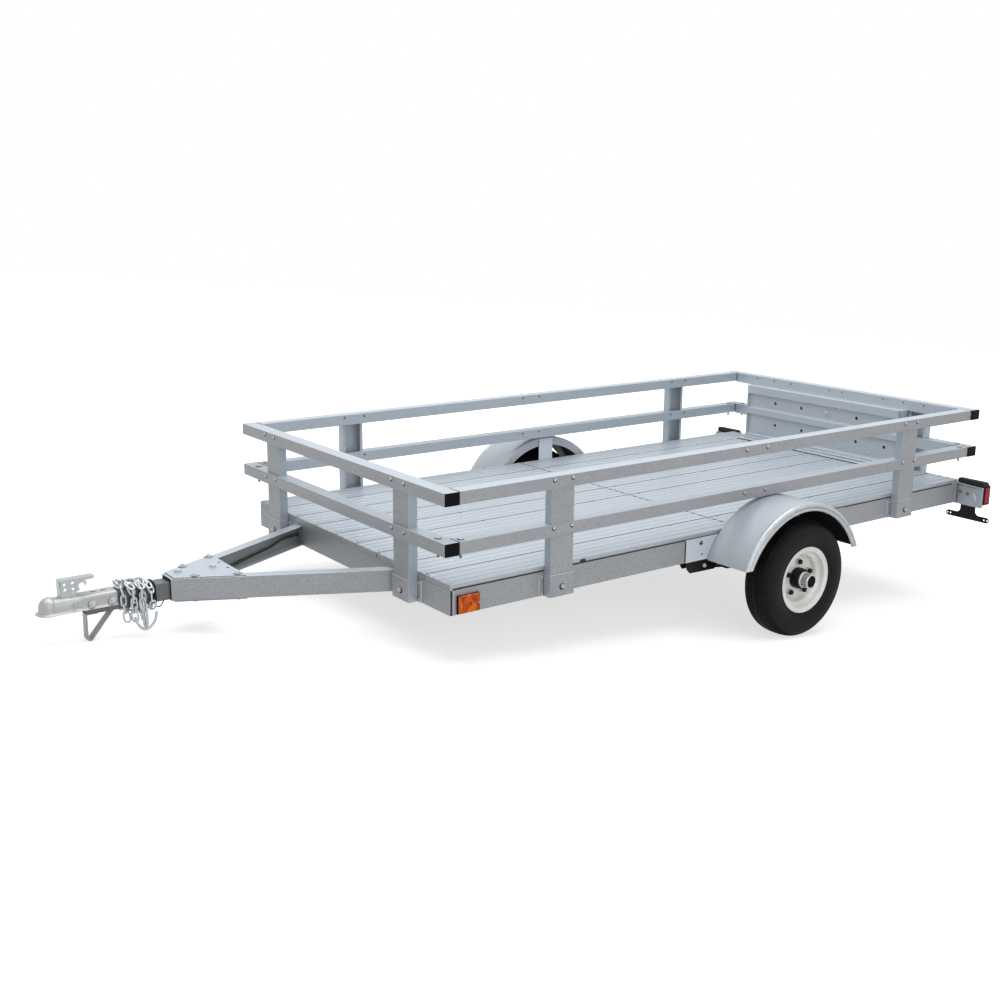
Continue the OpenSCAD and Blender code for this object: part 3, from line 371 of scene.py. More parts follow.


# Strips of painted shade at the frame's corners and along the deck's edges
gaps = []
for side in (-1, 1):
    gaps += [bar((x0, side * 0.6095, 0.0008), (x1, side * 0.6103, 0.0752), 0)
             for x0, x1 in ((-0.0086, -0.0012), (-2.4388, -2.4314))]
    gaps.append(bar((-2.4, side * 0.605, 0.0762), (-0.012, side * 0.6102, 0.0796), 0))
    gaps.append(bar((-0.505, side * 0.605, 0.0785), (-0.486, side * 0.6102, 0.0875), 0))
set_down(gaps, "frame_gaps", painted_shade_black)


# ---- Deck planks ----
# Nine planks in two rows, each a galvanised sheet rolled with three shallow valleys and folded
# down at its sides. They lie on the frame and the joists, and screws hold them at each joist.
def cut_plate(outline, depth):
    """A plate cut to an outline in its own X and Y, and as thick in Z as depth."""
    bpy.ops.object.select_all(action="DESELECT")
    bpy.ops.mesh.primitive_circle_add(vertices=len(outline), radius=1, fill_type="NGON")
    piece = bpy.context.object
    for corner, (x, y) in zip(piece.data.vertices, outline):
        corner.co = (x, y, 0)
    bpy.ops.object.mode_set(mode="EDIT")
    bpy.ops.mesh.select_all(action="SELECT")
    bpy.ops.mesh.extrude_region_move(TRANSFORM_OT_translate={"value": (0, 0, depth)})
    bpy.ops.mesh.select_all(action="SELECT")
    bpy.ops.mesh.normals_make_consistent(inside=False)
    bpy.ops.object.mode_set(mode="OBJECT")
    return piece


def placed(piece, place):
    """Moves a piece's own mesh."""
    piece.data.transform(place)
    return piece


# Plates stood so that their outline reads (Y, Z) and they run forward, or reads (X, Z) and they
# run to the right
running_forward = Matrix(((0, 0, 1, 0), (1, 0, 0, 0), (0, 1, 0, 0), (0, 0, 0, 1)))
running_right = Matrix(((1, 0, 0, 0), (0, 0, -1, 0), (0, 1, 0, 0), (0, 0, 0, 1)))

deck_zinc = zinc_coat("galvanised_deck", (0.365, 0.398, 0.436), (0.455, 0.492, 0.536),
                      rough=(0.34, 0.46), contrast=0.35)
# A darker copy of the deck zinc for the valleys' faces: painted shade in the valleys
valley_shade_zinc = zinc_coat("galvanised_deck_valleys", (0.315, 0.346, 0.382), (0.395, 0.43, 0.472),
                        rough=(0.38, 0.5), contrast=0.35)
PLANK_PITCH = 1.22 / 9
DECK_TOP = 0.093
plank_half = PLANK_PITCH / 2 - 0.0026
sheet = 0.0015
upper = [(-plank_half, -0.017), (-plank_half, -0.002), (-plank_half + 0.0008, -0.0007),
         (-plank_half + 0.0022, 0)]
VALLEYS, VALLEY_HALF = (-0.034, 0, 0.034), 0.0088
for valley in VALLEYS:
    upper += [(valley - VALLEY_HALF, 0), (valley - VALLEY_HALF + 0.003, -0.0016),
              (valley + VALLEY_HALF - 0.003, -0.0016), (valley + VALLEY_HALF, 0)]
upper += [(plank_half - 0.0022, 0), (plank_half - 0.0008, -0.0007), (plank_half, -0.002),
          (plank_half, -0.017)]
lower = [(y * (1 - sheet / plank_half), z - (sheet if z > -0.016 else 0)) for y, z in upper]
plank_outline = [(y, z + DECK_TOP) for y, z in upper + lower[::-1]]
for name, node, front, length in (("planks_front", "deck_planks_front", -0.0016, 1.168),
                                  ("planks_rear", "deck_planks_rear", -1.1742, 1.2658)):
    planks = joined([placed(cut_plate(plank_outline, length),
                            Matrix.Translation((front - length, (i - 4) * PLANK_PITCH, 0))
                            @ running_forward) for i in range(9)])
    in_valley = []
    for face in planks.data.polygons:
        across = (face.center.y / PLANK_PITCH + 4.5) % 1 * PLANK_PITCH - PLANK_PITCH / 2
        in_valley.append(any(abs(across - v) < VALLEY_HALF for v in VALLEYS))
    set_down(planks, name, deck_zinc)
    planks.data.materials.append(valley_shade_zinc)
    for face, low in zip(planks.data.polygons, in_valley):
        face.material_index = int(low)
    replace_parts(planks, node)
ends = [bar((-0.0016, (i - 4.5) * PLANK_PITCH + 0.0016, 0.0765),
            (0, (i - 3.5) * PLANK_PITCH - 0.0016, 0.0926), 0.0004) for i in range(9)]
set_down(ends, "plank_end_folds", frame_zinc)
plate_zinc = zinc_coat("galvanised_plate", (0.58, 0.625, 0.68), (0.69, 0.735, 0.8))
finish_node("side_plates", plate_zinc)

# The plates behind the wheels are darker and greyer than those in front
tree = plate_zinc.node_tree
shader = tree.nodes["Principled BSDF"]
bright = shader.inputs["Base Color"].links[0].from_socket
along_side = add_node(tree, "SeparateXYZ", {0: add_node(tree, "TexCoord").outputs["Object"]})
rear_plate_front = (parked @ Vector((-1.56, 0, 0.03))).x
behind = mapped(tree, along_side.outputs["X"], rear_plate_front, rear_plate_front - 0.02, 0, 1)
tree.links.new(mixed(tree, behind, bright, (0.5, 0.485, 0.46), blend_type="MULTIPLY"),
               shader.inputs["Base Color"])
# Dark strips nearly flush with the deck's top under the seams between planks and between the two rows: painted
# shade in the seams
seams = [bar((-2.439, (i - 3.5) * PLANK_PITCH - 0.0026, 0.0768),
             (-0.003, (i - 3.5) * PLANK_PITCH + 0.0026, DECK_TOP - 0.0004), 0) for i in range(8)]
seams.append(bar((-1.1742, -0.606, 0.0768), (-1.1696, 0.606, DECK_TOP - 0.0004), 0))
seam_dirt = painted_shade_material("seam_dirt", 120, (0.03, 0.032, 0.035), (0.095, 0.1, 0.105), 0.1)
set_down(seams, "seam_dirt_strips", seam_dirt)


# ---- Bolts and nuts ----
# Bright zinc-plated hex bolts with washers, and round-headed carriage bolts where rails meet
# posts. Each kind is made once, and the copies of a place are joined into one piece.
def bolt_metal(name, dark, light, rough=0.32):
    material, tree, shader = new_material(name)
    zinc = place_group(tree, spangle, Patch_Scale=600, Contrast=0.4)
    two_tones(tree, shader, zinc["Tone"], dark, light)
    roughened(tree, shader, zinc["Tone"], rough - 0.06, rough + 0.08)
    bumped(tree, shader, zinc["Height"], 0.0002, 0.1)
    shader.inputs["Metallic"].default_value = 0.35
    return material


bright_bolts = bolt_metal("bright_plated_bolts", (0.34, 0.36, 0.37), (0.66, 0.68, 0.69))
dull_screws = bolt_metal("dull_screws", (0.05, 0.05, 0.05), (0.16, 0.16, 0.16), 0.45)


def peg(radius, low, high, sides=20, bevel=0.0, segments=2):
    """A round or many-sided peg along Z, its end edges eased."""
    bpy.ops.object.select_all(action="DESELECT")
    bpy.ops.mesh.primitive_cylinder_add(vertices=sides, radius=radius, depth=high - low,
                                        location=(0, 0, (low + high) / 2))
    piece = bpy.context.object
    bpy.ops.object.transform_apply(location=True, rotation=True, scale=True)
    if bevel:
        applied(piece, "BEVEL", width=bevel, segments=segments, limit_method="ANGLE")
    return piece


def hex_bolt(size, washer=True, stub=0.0):
    parts = [peg(size * 0.92, 0.0006, 0.0006 + size * 0.62, 6, size * 0.08, 1)]
    if washer:
        parts.append(peg(size * 1.25, 0, 0.0014, 16))
    if stub:
        parts.append(peg(size * 0.5, 0, stub, 10, 0.0006, 1))
    return joined(parts)


def carriage_bolt(size):
    return peg(size, 0, size * 0.5, 12, size * 0.42, 3)


TURN_EACH = 0.7  # each copy is turned this much further than the last, as bolts are


def set_out(pattern, spots, name, material, body="chassis"):
    """Copies a pattern to each (point, direction) and joins the copies into one piece."""
    copies = []
    for i, (point, direction) in enumerate(spots):
        copy = pattern.copy()
        copy.data = pattern.data.copy()
        turn = Vector(direction).to_track_quat("Z", "Y").to_matrix().to_4x4()
        placed(copy, Matrix.Translation(point) @ turn @ Matrix.Rotation(i * TURN_EACH, 4, "Z"))
        bpy.context.scene.collection.objects.link(copy)
        copies.append(copy)
    bpy.data.objects.remove(pattern)
    return set_down(copies, name, material, body)


FORWARD, BACK, LEFT, RIGHT = (1, 0, 0), (-1, 0, 0), (0, 1, 0), (0, -1, 0)
UP, DOWN = (0, 0, 1), (0, 0, -1)
SIDES = ((1, LEFT), (-1, RIGHT))
ENDS = ((0, FORWARD), (1, BACK))
FRAME_LENGTH = 2.44
RAIL_Y, END_RAIL_X = 0.6433, 0.041
RAIL_BOLT_ZS = (0.364, 0.217)
SIDE_POSTS = (-0.385, -2.055)
END_POSTS = (0.3963, -0.4353)
BOLT_OFF = 0.035  # from the post's middle to each bolt

rail_bolts = []
for z in RAIL_BOLT_ZS:
    for side, out_way in SIDES:
        for x in SIDE_POSTS:
            rail_bolts += [((x + d, side * RAIL_Y, z), out_way) for d in (-BOLT_OFF, BOLT_OFF)]
        rail_bolts += [((x, side * RAIL_Y, z - 0.002), out_way) for x in (-1.168, -1.268)]
    for y in END_POSTS:
        for at_back, way in ENDS:
            x = -FRAME_LENGTH - END_RAIL_X if at_back else END_RAIL_X
            rail_bolts += [((x, y + d, z), way) for d in (-BOLT_OFF, BOLT_OFF)]
set_out(carriage_bolt(0.0052), rail_bolts, "rail_bolts", bright_bolts)


def shadows_under_heads(spots, size, name):
    """Black discs, a little low, under heads on upright faces: a painted shadow below each head."""
    lowered = [((point[0], point[1], point[2] - 0.002), way) for point, way in spots]
    set_out(peg(size, 0, 0.0005, 14), lowered, name, painted_shade_black)


shadows_under_heads(rail_bolts, 0.007, "rail_bolt_washers")
inner_ends = []
for z in RAIL_BOLT_ZS:
    for side, in_way in ((1, RIGHT), (-1, LEFT)):
        for x in (*SIDE_POSTS, -1.218):
            inner_ends += [((x + d, side * 0.5953, z), in_way) for d in (-0.042, 0.042)]
    for y in END_POSTS:
        inner_ends += [((-0.007, y + d, z), BACK) for d in (-BOLT_OFF, BOLT_OFF)]
set_out(carriage_bolt(0.0042), inner_ends, "rail_bolt_ends", dull_screws)

rivets = [((-2.4328, y, 0.362), FORWARD)
          for y in (-0.467, -0.368, -0.269, -0.055, 0.014, 0.227, 0.327, 0.426)]
set_out(carriage_bolt(0.0035), rivets, "rear_rail_rivets", dull_screws)

POCKET_BOLT_Z = 0.031
pocket_bolts = [((x, side * 0.6443, POCKET_BOLT_Z), way) for side, way in SIDES
                for x in SIDE_POSTS]
for y in END_POSTS:
    pocket_bolts += [((0.0343, y, POCKET_BOLT_Z), FORWARD), ((-2.4743, y, POCKET_BOLT_Z), BACK)]
set_out(hex_bolt(0.008, washer=False, stub=0.009), pocket_bolts, "pocket_bolts", bright_bolts)
shadows_under_heads(pocket_bolts, 0.0104, "pocket_bolt_washers")

# Bright strips on the pockets' top edges, beside the frame's corner gaps and at the pockets' ears are painted
# highlights on those edges; black strips where the ears meet the pockets are painted shade in those gaps
pocket_edges, ear_gaps = [], []
for x in SIDE_POSTS:
    pocket_edges += [bar((x - 0.0463, y, 0.0686), (x + 0.0463, y + 0.002, 0.0696), 0)
                     for y in (0.6418, -0.6438)]
for y in END_POSTS:
    pocket_edges += [bar((x, y - 0.0463, 0.0686), (x + 0.002, y + 0.0463, 0.0696), 0)
                     for x in (0.0323, -2.4743)]
for side in (-1, 1):
    pocket_edges += [bar((x0, side * 0.61, 0.001), (x1, side * 0.6106, 0.075), 0)
                     for x0, x1 in ((-0.0108, -0.0088), (-2.4312, -2.4292))]
edge_highlight_zinc = zinc_coat("sheared_zinc_edge", (0.62, 0.63, 0.64), (0.74, 0.75, 0.76),
                         metallic=0.2)
for made, near, far in ((pocket_edges, 0.0629, 0.0646), (ear_gaps, 0.0464, 0.0478)):
    for d in (-1, 1):
        made += [bar((x + d * near, side * 0.6102, 0.001), (x + d * far, side * 0.6136, 0.068), 0)
                 for x in SIDE_POSTS for side in (1, -1)]
        made += [bar((x0, y + d * near, 0.001), (x1, y + d * far, 0.068), 0)
                 for y in END_POSTS for x0, x1 in ((0.0002, 0.0036), (-2.4436, -2.4402))]
set_down(pocket_edges, "pocket_edges", edge_highlight_zinc)
set_down(ear_gaps, "pocket_ear_gaps", painted_shade_black)

ear_bolts = []
for z in (0.06, 0.008):
    for d in (-0.0555, 0.0555):
        for side, out_way in ((1, LEFT), (-1, RIGHT)):
            ear_bolts += [((x + d, side * 0.613, z), out_way) for x in SIDE_POSTS]
        for y in END_POSTS:
            ear_bolts.append(((0.003, y + d, z), FORWARD))
            ear_bolts.append(((-2.443, y + d, z), BACK))
set_out(hex_bolt(0.0052, washer=False), ear_bolts, "pocket_ear_bolts", bright_bolts)

corner_heads, corner_nuts = [], []
for side in (-1, 1):
    for x, y in ((0.018, 0.576), (-0.03, 0.619), (-2.458, 0.576), (-2.41, 0.619)):
        corner_heads.append(((x, side * y, 0.228), UP))
        corner_nuts.append(((x, side * y, 0.19), DOWN))
set_out(carriage_bolt(0.0098), corner_heads, "corner_bolt_heads", bright_bolts)
shadows_under_heads([((x, y, z + 0.002), way) for (x, y, z), way in corner_heads], 0.0108,
            "corner_bolt_washers")
set_out(hex_bolt(0.0074, stub=0.018), corner_nuts, "corner_nuts", dull_screws)

deck_screws = []
for x in (-0.498, -0.986, -1.212, -1.694, -2.06, -2.315):
    deck_screws += [((x, (i - 4.5) * PLANK_PITCH + 0.007, DECK_TOP - 0.0002), UP)
                    for i in range(9)]
set_out(carriage_bolt(0.004), deck_screws, "deck_screws", dull_screws)
edge_screws = []
for i in range(10):
    y = (i - 4.5) * PLANK_PITCH
    for d in ([0.012, -0.012] if 0 < i < 9 else [0.012 if i == 0 else -0.012]):
        edge_screws.append(((-0.014 + d / 3, y + d, DECK_TOP - 0.0002), UP))
        edge_screws.append(((-1.158, y + d, DECK_TOP - 0.0002), UP))
set_out(carriage_bolt(0.0046), edge_screws, "edge_screws", bright_bolts)


# ---- Rail end caps ----
# Square black plastic plugs pressed into the ends of the rails, with thin collars where the
# side rails butt against the end rails. The rear rails have a lip folded down inside.
def grained_plastic(name, dark, light, rough=0.55, scale=900):
    material, tree, shader = new_material(name)
    grain = noise(tree, scale, 3)["Fac"]
    two_tones(tree, shader, grain, dark, light)
    roughened(tree, shader, grain, rough - 0.1, rough + 0.1)
    bumped(tree, shader, grain, 0.0003, 0.2)
    shader.inputs["Specular IOR Level"].default_value = 0.06
    return material


black_plastic = grained_plastic("black_plastic", (0.002, 0.002, 0.003), (0.007, 0.007, 0.008))
finish_node("rail_caps", black_plastic, 0.002, 3)
rail_lips = [bar((-2.4329, -0.594, z - 0.005), (-2.4309, 0.594, z + 0.003), 0.0004)
             for z in (0.336, 0.19)]
set_down(rail_lips, "rear_rail_lips", frame_zinc)
collars = [bar((x0, side * 0.5949, top - 0.0384), (x1, side * 0.6437, top + 0.0004), 0.0004)
           for side in (-1, 1) for top in (0.374, 0.228)
           for x0, x1 in ((-0.0105, -0.0072), (-2.4328, -2.4295))]
set_down(collars, "side_rail_collars", black_plastic)


# ---- A-frame tongue ----
# Two galvanised channels run from the frame to a point, gripped by plates over and under it.
# The square tube between them carries the coupler. Bolts go down through plates and channels.
# The beams' faces not turned up are darker and their top faces lighter: painted shade and painted light
beam_zinc = lit_and_shaded_zinc("galvanised_beams", "Upright")
for node in ("tongue_beam_left", "tongue_beam_right", "tongue_gusset"):
    finish_node(node, beam_zinc, 0.002)
# The tube's zinc is given dark tones: painted shade on the tube
shaded_tube_zinc = zinc_coat("galvanised_tube", (0.085, 0.087, 0.089), (0.145, 0.148, 0.151), metallic=0.4,
                      rough=(0.3, 0.42), patch=200, contrast=0.4)
finish_node("tongue_tube", shaded_tube_zinc, 0.004, 3)
gusset_tops = [((0.558, -0.013, 0.074), UP), ((0.452, -0.002, 0.074), UP)]
set_out(hex_bolt(0.0115), gusset_tops, "tongue_tube_bolts", bright_bolts)
beam_bolts = [((x, y, 0.074), UP)
              for x, y in ((0.527, -0.056), (0.532, 0.05), (0.42, -0.108), (0.42, 0.104))]
set_out(hex_bolt(0.0095, stub=0.009), beam_bolts, "gusset_bolts", bright_bolts)
shadows_under_heads([((x, y, z + 0.002), way) for (x, y, z), way in gusset_tops + beam_bolts], 0.0142,
            "gusset_washers")
# Small black discs on the gusset's open holes: painted shade in them
shadows_under_heads([((0.418, y, 0.0759), UP) for y in (-0.035, 0.03)], 0.0045, "gusset_holes")
gusset_nuts = [((x, y, -0.002), DOWN) for x, y in
               ((0.558, -0.013), (0.452, -0.002), (0.527, -0.056), (0.532, 0.05),
                (0.42, -0.108), (0.42, 0.104))]
set_out(carriage_bolt(0.007), gusset_nuts, "gusset_bolt_heads_below", dull_screws)


# ---- Coupler ----
# A stamped and plated ball coupler: a folded housing with a flared lip and a dome over the
# ball. The outline of each level is a straight tail and a round nose, stacked up and smoothed.
def lay_sheet(count_u, count_v, point_at):
    """A sheet of count_u by count_v corners, each laid where point_at says."""
    bpy.ops.object.select_all(action="DESELECT")
    bpy.ops.mesh.primitive_grid_add(x_subdivisions=count_u - 1, y_subdivisions=count_v - 1,
                                    size=1)
    piece = bpy.context.object
    for corner in piece.data.vertices:
        i = round((corner.co.x + 0.5) * (count_u - 1))
        j = round((corner.co.y + 0.5) * (count_v - 1))
        corner.co = point_at(i, j)
    return piece


def thickened(piece, thickness, flip=False):
    """Gives a sheet its wall, after its seams are closed and its normals agree."""
    pick(piece)
    bpy.ops.object.mode_set(mode="EDIT")
    bpy.ops.mesh.select_all(action="SELECT")
    bpy.ops.mesh.remove_doubles(threshold=0.00005)
    bpy.ops.mesh.normals_make_consistent(inside=flip)
    bpy.ops.object.mode_set(mode="OBJECT")
    return applied(piece, "SOLIDIFY", thickness=thickness, offset=-1.0)


def smoothed(pieces, angle=40):
    piece = joined(pieces)
    bpy.ops.object.shade_smooth_by_angle(angle=math.radians(angle))
    return piece


plated = zinc_coat("plated_coupler", (0.35, 0.352, 0.335), (0.46, 0.462, 0.442), metallic=0.4,
                   rough=(0.36, 0.46), patch=300, contrast=0.35)
BALL_X = 0.945
LEVELS = [  # tail half-width and height, nose radius and height, all in millimetres
    (37.0, 24.6, 36.8, 23.0), (32.0, 25.6, 32.4, 24.4), (29.4, 28.0, 28.9, 27.0),
    (28.8, 36.0, 28.3, 35.0), (28.6, 46.0, 26.6, 45.5), (28.2, 56.0, 23.6, 53.4),
    (26.0, 61.0, 19.4, 59.4), (21.0, 63.3, 14.0, 63.6), (12.0, 63.6, 7.0, 66.0),
    (0.0, 63.6, 0.0, 66.6)]
TAIL, TAIL_STEPS, NOSE_STEPS = 0.188, 26, 24


def coupler_point(i, j):
    tail_w, tail_z, nose_r, nose_z = (v / 1000 for v in LEVELS[j])
    sides = TAIL_STEPS * 2 + NOSE_STEPS
    if i < TAIL_STEPS or i > sides - TAIL_STEPS:
        step = i if i < TAIL_STEPS else sides - i
        x = -TAIL + TAIL * step / TAIL_STEPS
        s = min(1, max(0, (x + 0.052 + 0.007 * j) / 0.05))
        s = s * s * (3 - 2 * s)
        y = (tail_w + (nose_r - tail_w) * s) * (1 if i < TAIL_STEPS else -1)
        return (x, y, tail_z + (nose_z - tail_z) * s)
    angle = math.pi * (i - TAIL_STEPS) / NOSE_STEPS
    return (nose_r * math.sin(angle), nose_r * math.cos(angle), nose_z)


shell = thickened(lay_sheet(TAIL_STEPS * 2 + NOSE_STEPS + 1, len(LEVELS), coupler_point), 0.0025)
smoothed(applied(shell, "SUBSURF", levels=1, render_levels=1), 50)
set_down(shell, "coupler_shell", plated, place=Matrix.Translation((BALL_X, 0, 0)))
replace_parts(shell, "coupler_body")


# The dome over the ball is pressed separately from the same sheet and welded on
def turned_ring(outline, steps):
    """A closed outline of (radius, along), in millimetres, turned once round the Z axis."""
    bpy.ops.object.select_all(action="DESELECT")
    bpy.ops.mesh.primitive_circle_add(vertices=len(outline), radius=1, fill_type="NOTHING")
    piece = bpy.context.object
    for corner, (radius, along) in zip(piece.data.vertices, outline):
        corner.co = (radius / 1000, 0, along / 1000)
    bpy.ops.object.mode_set(mode="EDIT")
    bpy.ops.mesh.select_all(action="SELECT")
    bpy.ops.mesh.spin(steps=steps, angle=2 * math.pi, center=(0, 0, 0), axis=(0, 0, 1))
    bpy.ops.mesh.select_all(action="SELECT")
    bpy.ops.mesh.remove_doubles(threshold=0.00002)
    bpy.ops.mesh.normals_make_consistent(inside=False)
    bpy.ops.object.mode_set(mode="OBJECT")
    return piece


dome_outline = [(37.4, 23.0), (36.6, 24.6), (32.6, 25.8), (30.0, 28.0), (28.9, 33.0),
                (28.8, 41.0), (27.2, 50.0), (23.6, 57.6), (18.0, 63.8), (10.4, 68.0),
                (4.0, 69.4), (0.0, 69.6), (0.0, 67.2), (9.8, 65.6), (16.6, 61.8),
                (21.6, 56.0), (24.8, 49.2), (26.3, 41.0), (26.4, 33.0), (27.4, 26.6),
                (31.0, 23.6), (36.0, 22.2)]
set_down(smoothed(turned_ring(dome_outline, 56), 50), "coupler_dome", plated,
         place=Matrix.Translation((BALL_X, 0, 0)))

# The ball clamp inside the nose, seen from below
clamp = cut_plate([(-0.062, -0.012), (-0.03, -0.016), (-0.024, 0), (-0.03, 0.016),
                   (-0.062, 0.012)], 0.012)
set_down(clamp, "coupler_ball_clamp", plated, place=Matrix.Translation((BALL_X, 0, 0.031)))

BOLT_XS = (0.832, 0.774)
shadows_under_heads([((x, 0.0292, 0.0374), LEFT) for x in BOLT_XS], 0.0128, "coupler_bolt_washers")
set_out(hex_bolt(0.0092, stub=0.01), [((x, 0.03, 0.037), LEFT) for x in BOLT_XS],
        "coupler_bolts", bright_bolts)
set_out(hex_bolt(0.0105, stub=0.014), [((x, -0.03, 0.037), RIGHT) for x in BOLT_XS],
        "coupler_nuts", bright_bolts)
set_out(carriage_bolt(0.007), [((0.88, side * 0.0292, 0.044), way) for side, way in SIDES],
        "coupler_rivets", plated)
# Two black strips on the housing's top: painted shade in its slots
slots = [bar((x, -0.002, 0.0634), (x + 0.014, 0.002, 0.0642), 0) for x in (0.783, 0.812)]
set_down(slots, "coupler_slots", painted_shade_black)


def drilled(piece, radius, reach, places, sides):
    """Round holes through a piece, each along the Z of its place."""
    for place in places:
        drill = placed(peg(radius, -reach, reach, sides), place)
        applied(piece, "BOOLEAN", object=drill, operation="DIFFERENCE")
        bpy.data.objects.remove(drill)
    return piece


# The lever: two side plates with round holes and a hook-shaped notch, joined by a top strip
lever_metal = zinc_coat("plated_lever", (0.33, 0.36, 0.37), (0.48, 0.51, 0.52), metallic=0.5,
                        rough=(0.26, 0.36), patch=300, contrast=0.35)
lever_outline = [(0.9125, 0.064), (0.916, 0.1135), (0.818, 0.113), (0.818, 0.108),
                 (0.844, 0.106), (0.839, 0.101), (0.84, 0.094), (0.844, 0.0905),
                 (0.8462, 0.093), (0.845, 0.0965), (0.849, 0.1), (0.856, 0.1),
                 (0.8615, 0.0965), (0.8625, 0.089), (0.8585, 0.0835), (0.861, 0.079),
                 (0.868, 0.076), (0.87, 0.064)]
cheeks = []
for y, back, down in ((0.014, 0, 0), (-0.0115, 0.007, 0.0075)):
    holes = [Matrix.Translation((x - back, z - down, 0))
             for x, z in ((0.901, 0.101), (0.9, 0.086), (0.878, 0.103), (0.878, 0.085))]
    cheek = drilled(cut_plate(lever_outline, 0.0025), 0.0044, 0.01, holes, 16)
    cheeks.append(placed(cheek, Matrix.Translation((0, y, 0)) @ running_right))
top_strip = placed(cut_plate([(0.916, 0.1125), (0.916, 0.1152), (0.816, 0.115),
                              (0.816, 0.1123)], 0.0285),
                   Matrix.Translation((0, 0.01425, 0)) @ running_right)
front_strip = bar((0.9138, -0.014, 0.064), (0.9163, 0.014, 0.1145), 0)
lever = set_down(cheeks + [top_strip, front_strip], "coupler_lever", lever_metal)
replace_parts(lever, "coupler_latch")
set_down([peg(0.0036, -0.0165, 0.0165, 16), peg(0.0062, 0.0142, 0.0166, 16, 0.001),
          peg(0.0062, -0.0166, -0.0142, 16, 0.001)], "coupler_lever_pin", bright_bolts,
         place=Matrix.Translation((0.88, 0, 0.078)) @ Matrix.Rotation(math.pi / 2, 4, "X"))


# ---- Stand ----
# One flat bar bent to a V, with its ends turned under the tongue tube and held by the coupler's
# bolts. Dull zinc.
stand_zinc = zinc_coat("stand_zinc", (0.25, 0.25, 0.25), (0.38, 0.38, 0.38), metallic=0.4,
                       rough=(0.36, 0.5), patch=300, contrast=0.45)
finish_node("tongue_stand", stand_zinc, 0.0008)


# ---- Safety chains ----
# Two bright plated chains wound about three times round the tongue tube, their ends hanging in
# open hooks of round bar. Each link is a bent ring, and the next one is turned a quarter.
chain_bright = bolt_metal("chain_zinc", (0.4, 0.43, 0.45), (0.7, 0.73, 0.75), 0.3)


def ring_path(points, wire, name, cyclic=False):
    """Round bar bent along a smooth line."""
    data = bpy.data.curves.new(name, "CURVE")
    data.dimensions = "3D"
    data.bevel_depth = wire
    data.bevel_resolution = 3
    data.resolution_u = 5
    data.use_fill_caps = True
    spline = data.splines.new("NURBS")
    spline.points.add(len(points) - 1)
    for spot, point in zip(spline.points, points):
        spot.co = (*point, 1)
    spline.use_cyclic_u = cyclic
    spline.use_endpoint_u = not cyclic
    spline.order_u = 3
    bar_piece = bpy.data.objects.new(name, data)
    bpy.context.scene.collection.objects.link(bar_piece)
    pick(bar_piece)
    bpy.ops.object.convert(target="MESH")
    return bpy.context.object


LINK_WIRE, LINK_HALF, LINK_END = 0.0029, 0.0088, 0.008
link_line = []
for k in range(16):
    angle = 2 * math.pi * k / 16
    shift = LINK_END if math.cos(angle) > 0.01 else -LINK_END if math.cos(angle) < -0.01 else 0
    link_line.append((shift + LINK_HALF * math.cos(angle), LINK_HALF * math.sin(angle), 0))
link = ring_path(link_line, LINK_WIRE, "link", cyclic=True)
link_pitch = 2 * (LINK_END + LINK_HALF - LINK_WIRE)


TUBE_MIDDLE_Z = 0.0325
SQUARENESS = 0.42  # 1 is round, and less is squarer


def wrap_point(along, turn_x, stand_off):
    """A point on a rounded square path round the tube, along = 0 to 1 for one turn."""
    half_w, half_h = 0.025 + stand_off, 0.027 + stand_off
    c, s = math.cos(2 * math.pi * along), math.sin(2 * math.pi * along)
    return Vector((turn_x, half_w * math.copysign(abs(c) ** SQUARENESS, c),
                   TUBE_MIDDLE_Z + half_h * math.copysign(abs(s) ** SQUARENESS, s)))


def chain_along(points):
    """Links set along a line, one pitch apart, each turned a quarter from the last."""
    spots, travelled, wanted = [], 0.0, 0.0
    for a, b in zip(points, points[1:]):
        step = (b - a).length
        while wanted <= travelled + step:
            spots.append((a.lerp(b, (wanted - travelled) / step), (b - a).normalized()))
            wanted += link_pitch
        travelled += step
    made = []
    for n, (point, way) in enumerate(spots):
        copy = link.copy()
        copy.data = link.data.copy()
        outwards = Vector((0, point.y, point.z - TUBE_MIDDLE_Z)).normalized()
        across = way.cross(outwards).normalized()
        outwards = across.cross(way).normalized()
        lie = Matrix((way, across, outwards)).transposed().to_4x4()
        tilt = Matrix.Rotation(math.radians((14 if n % 2 else 74) + 9 * math.sin(5 * n)), 4, "X")
        placed(copy, Matrix.Translation(point) @ lie @ tilt)
        bpy.context.scene.collection.objects.link(copy)
        made.append(copy)
    return made


chains = []
for start_x, stand_off, turns, lag in ((0.746, 0.0085, 3.6, 0.3), (0.735, 0.0125, 2.6, 0.62)):
    line = []
    for k in range(int(turns * 64) + 1):
        along = k / 64
        lift = 0.003 * math.sin(5.1 * along + lag * 9)
        line.append(wrap_point(-along + lag, start_x - 0.0245 * along + 0.005
                               * math.sin(7 * along), stand_off + lift))
    chains += chain_along(line)
for x, y, drop in ((0.737, 0.022, 2), (0.716, 0.03, 2), (0.69, 0.034, 3)):
    line = [Vector((x - 0.002 * k, y, 0.004 - k * 0.012)) for k in range(drop + 2)]
    chains += chain_along(line)
bpy.data.objects.remove(link)
set_down(smoothed(chains, 60), "safety_chain_links", chain_bright)

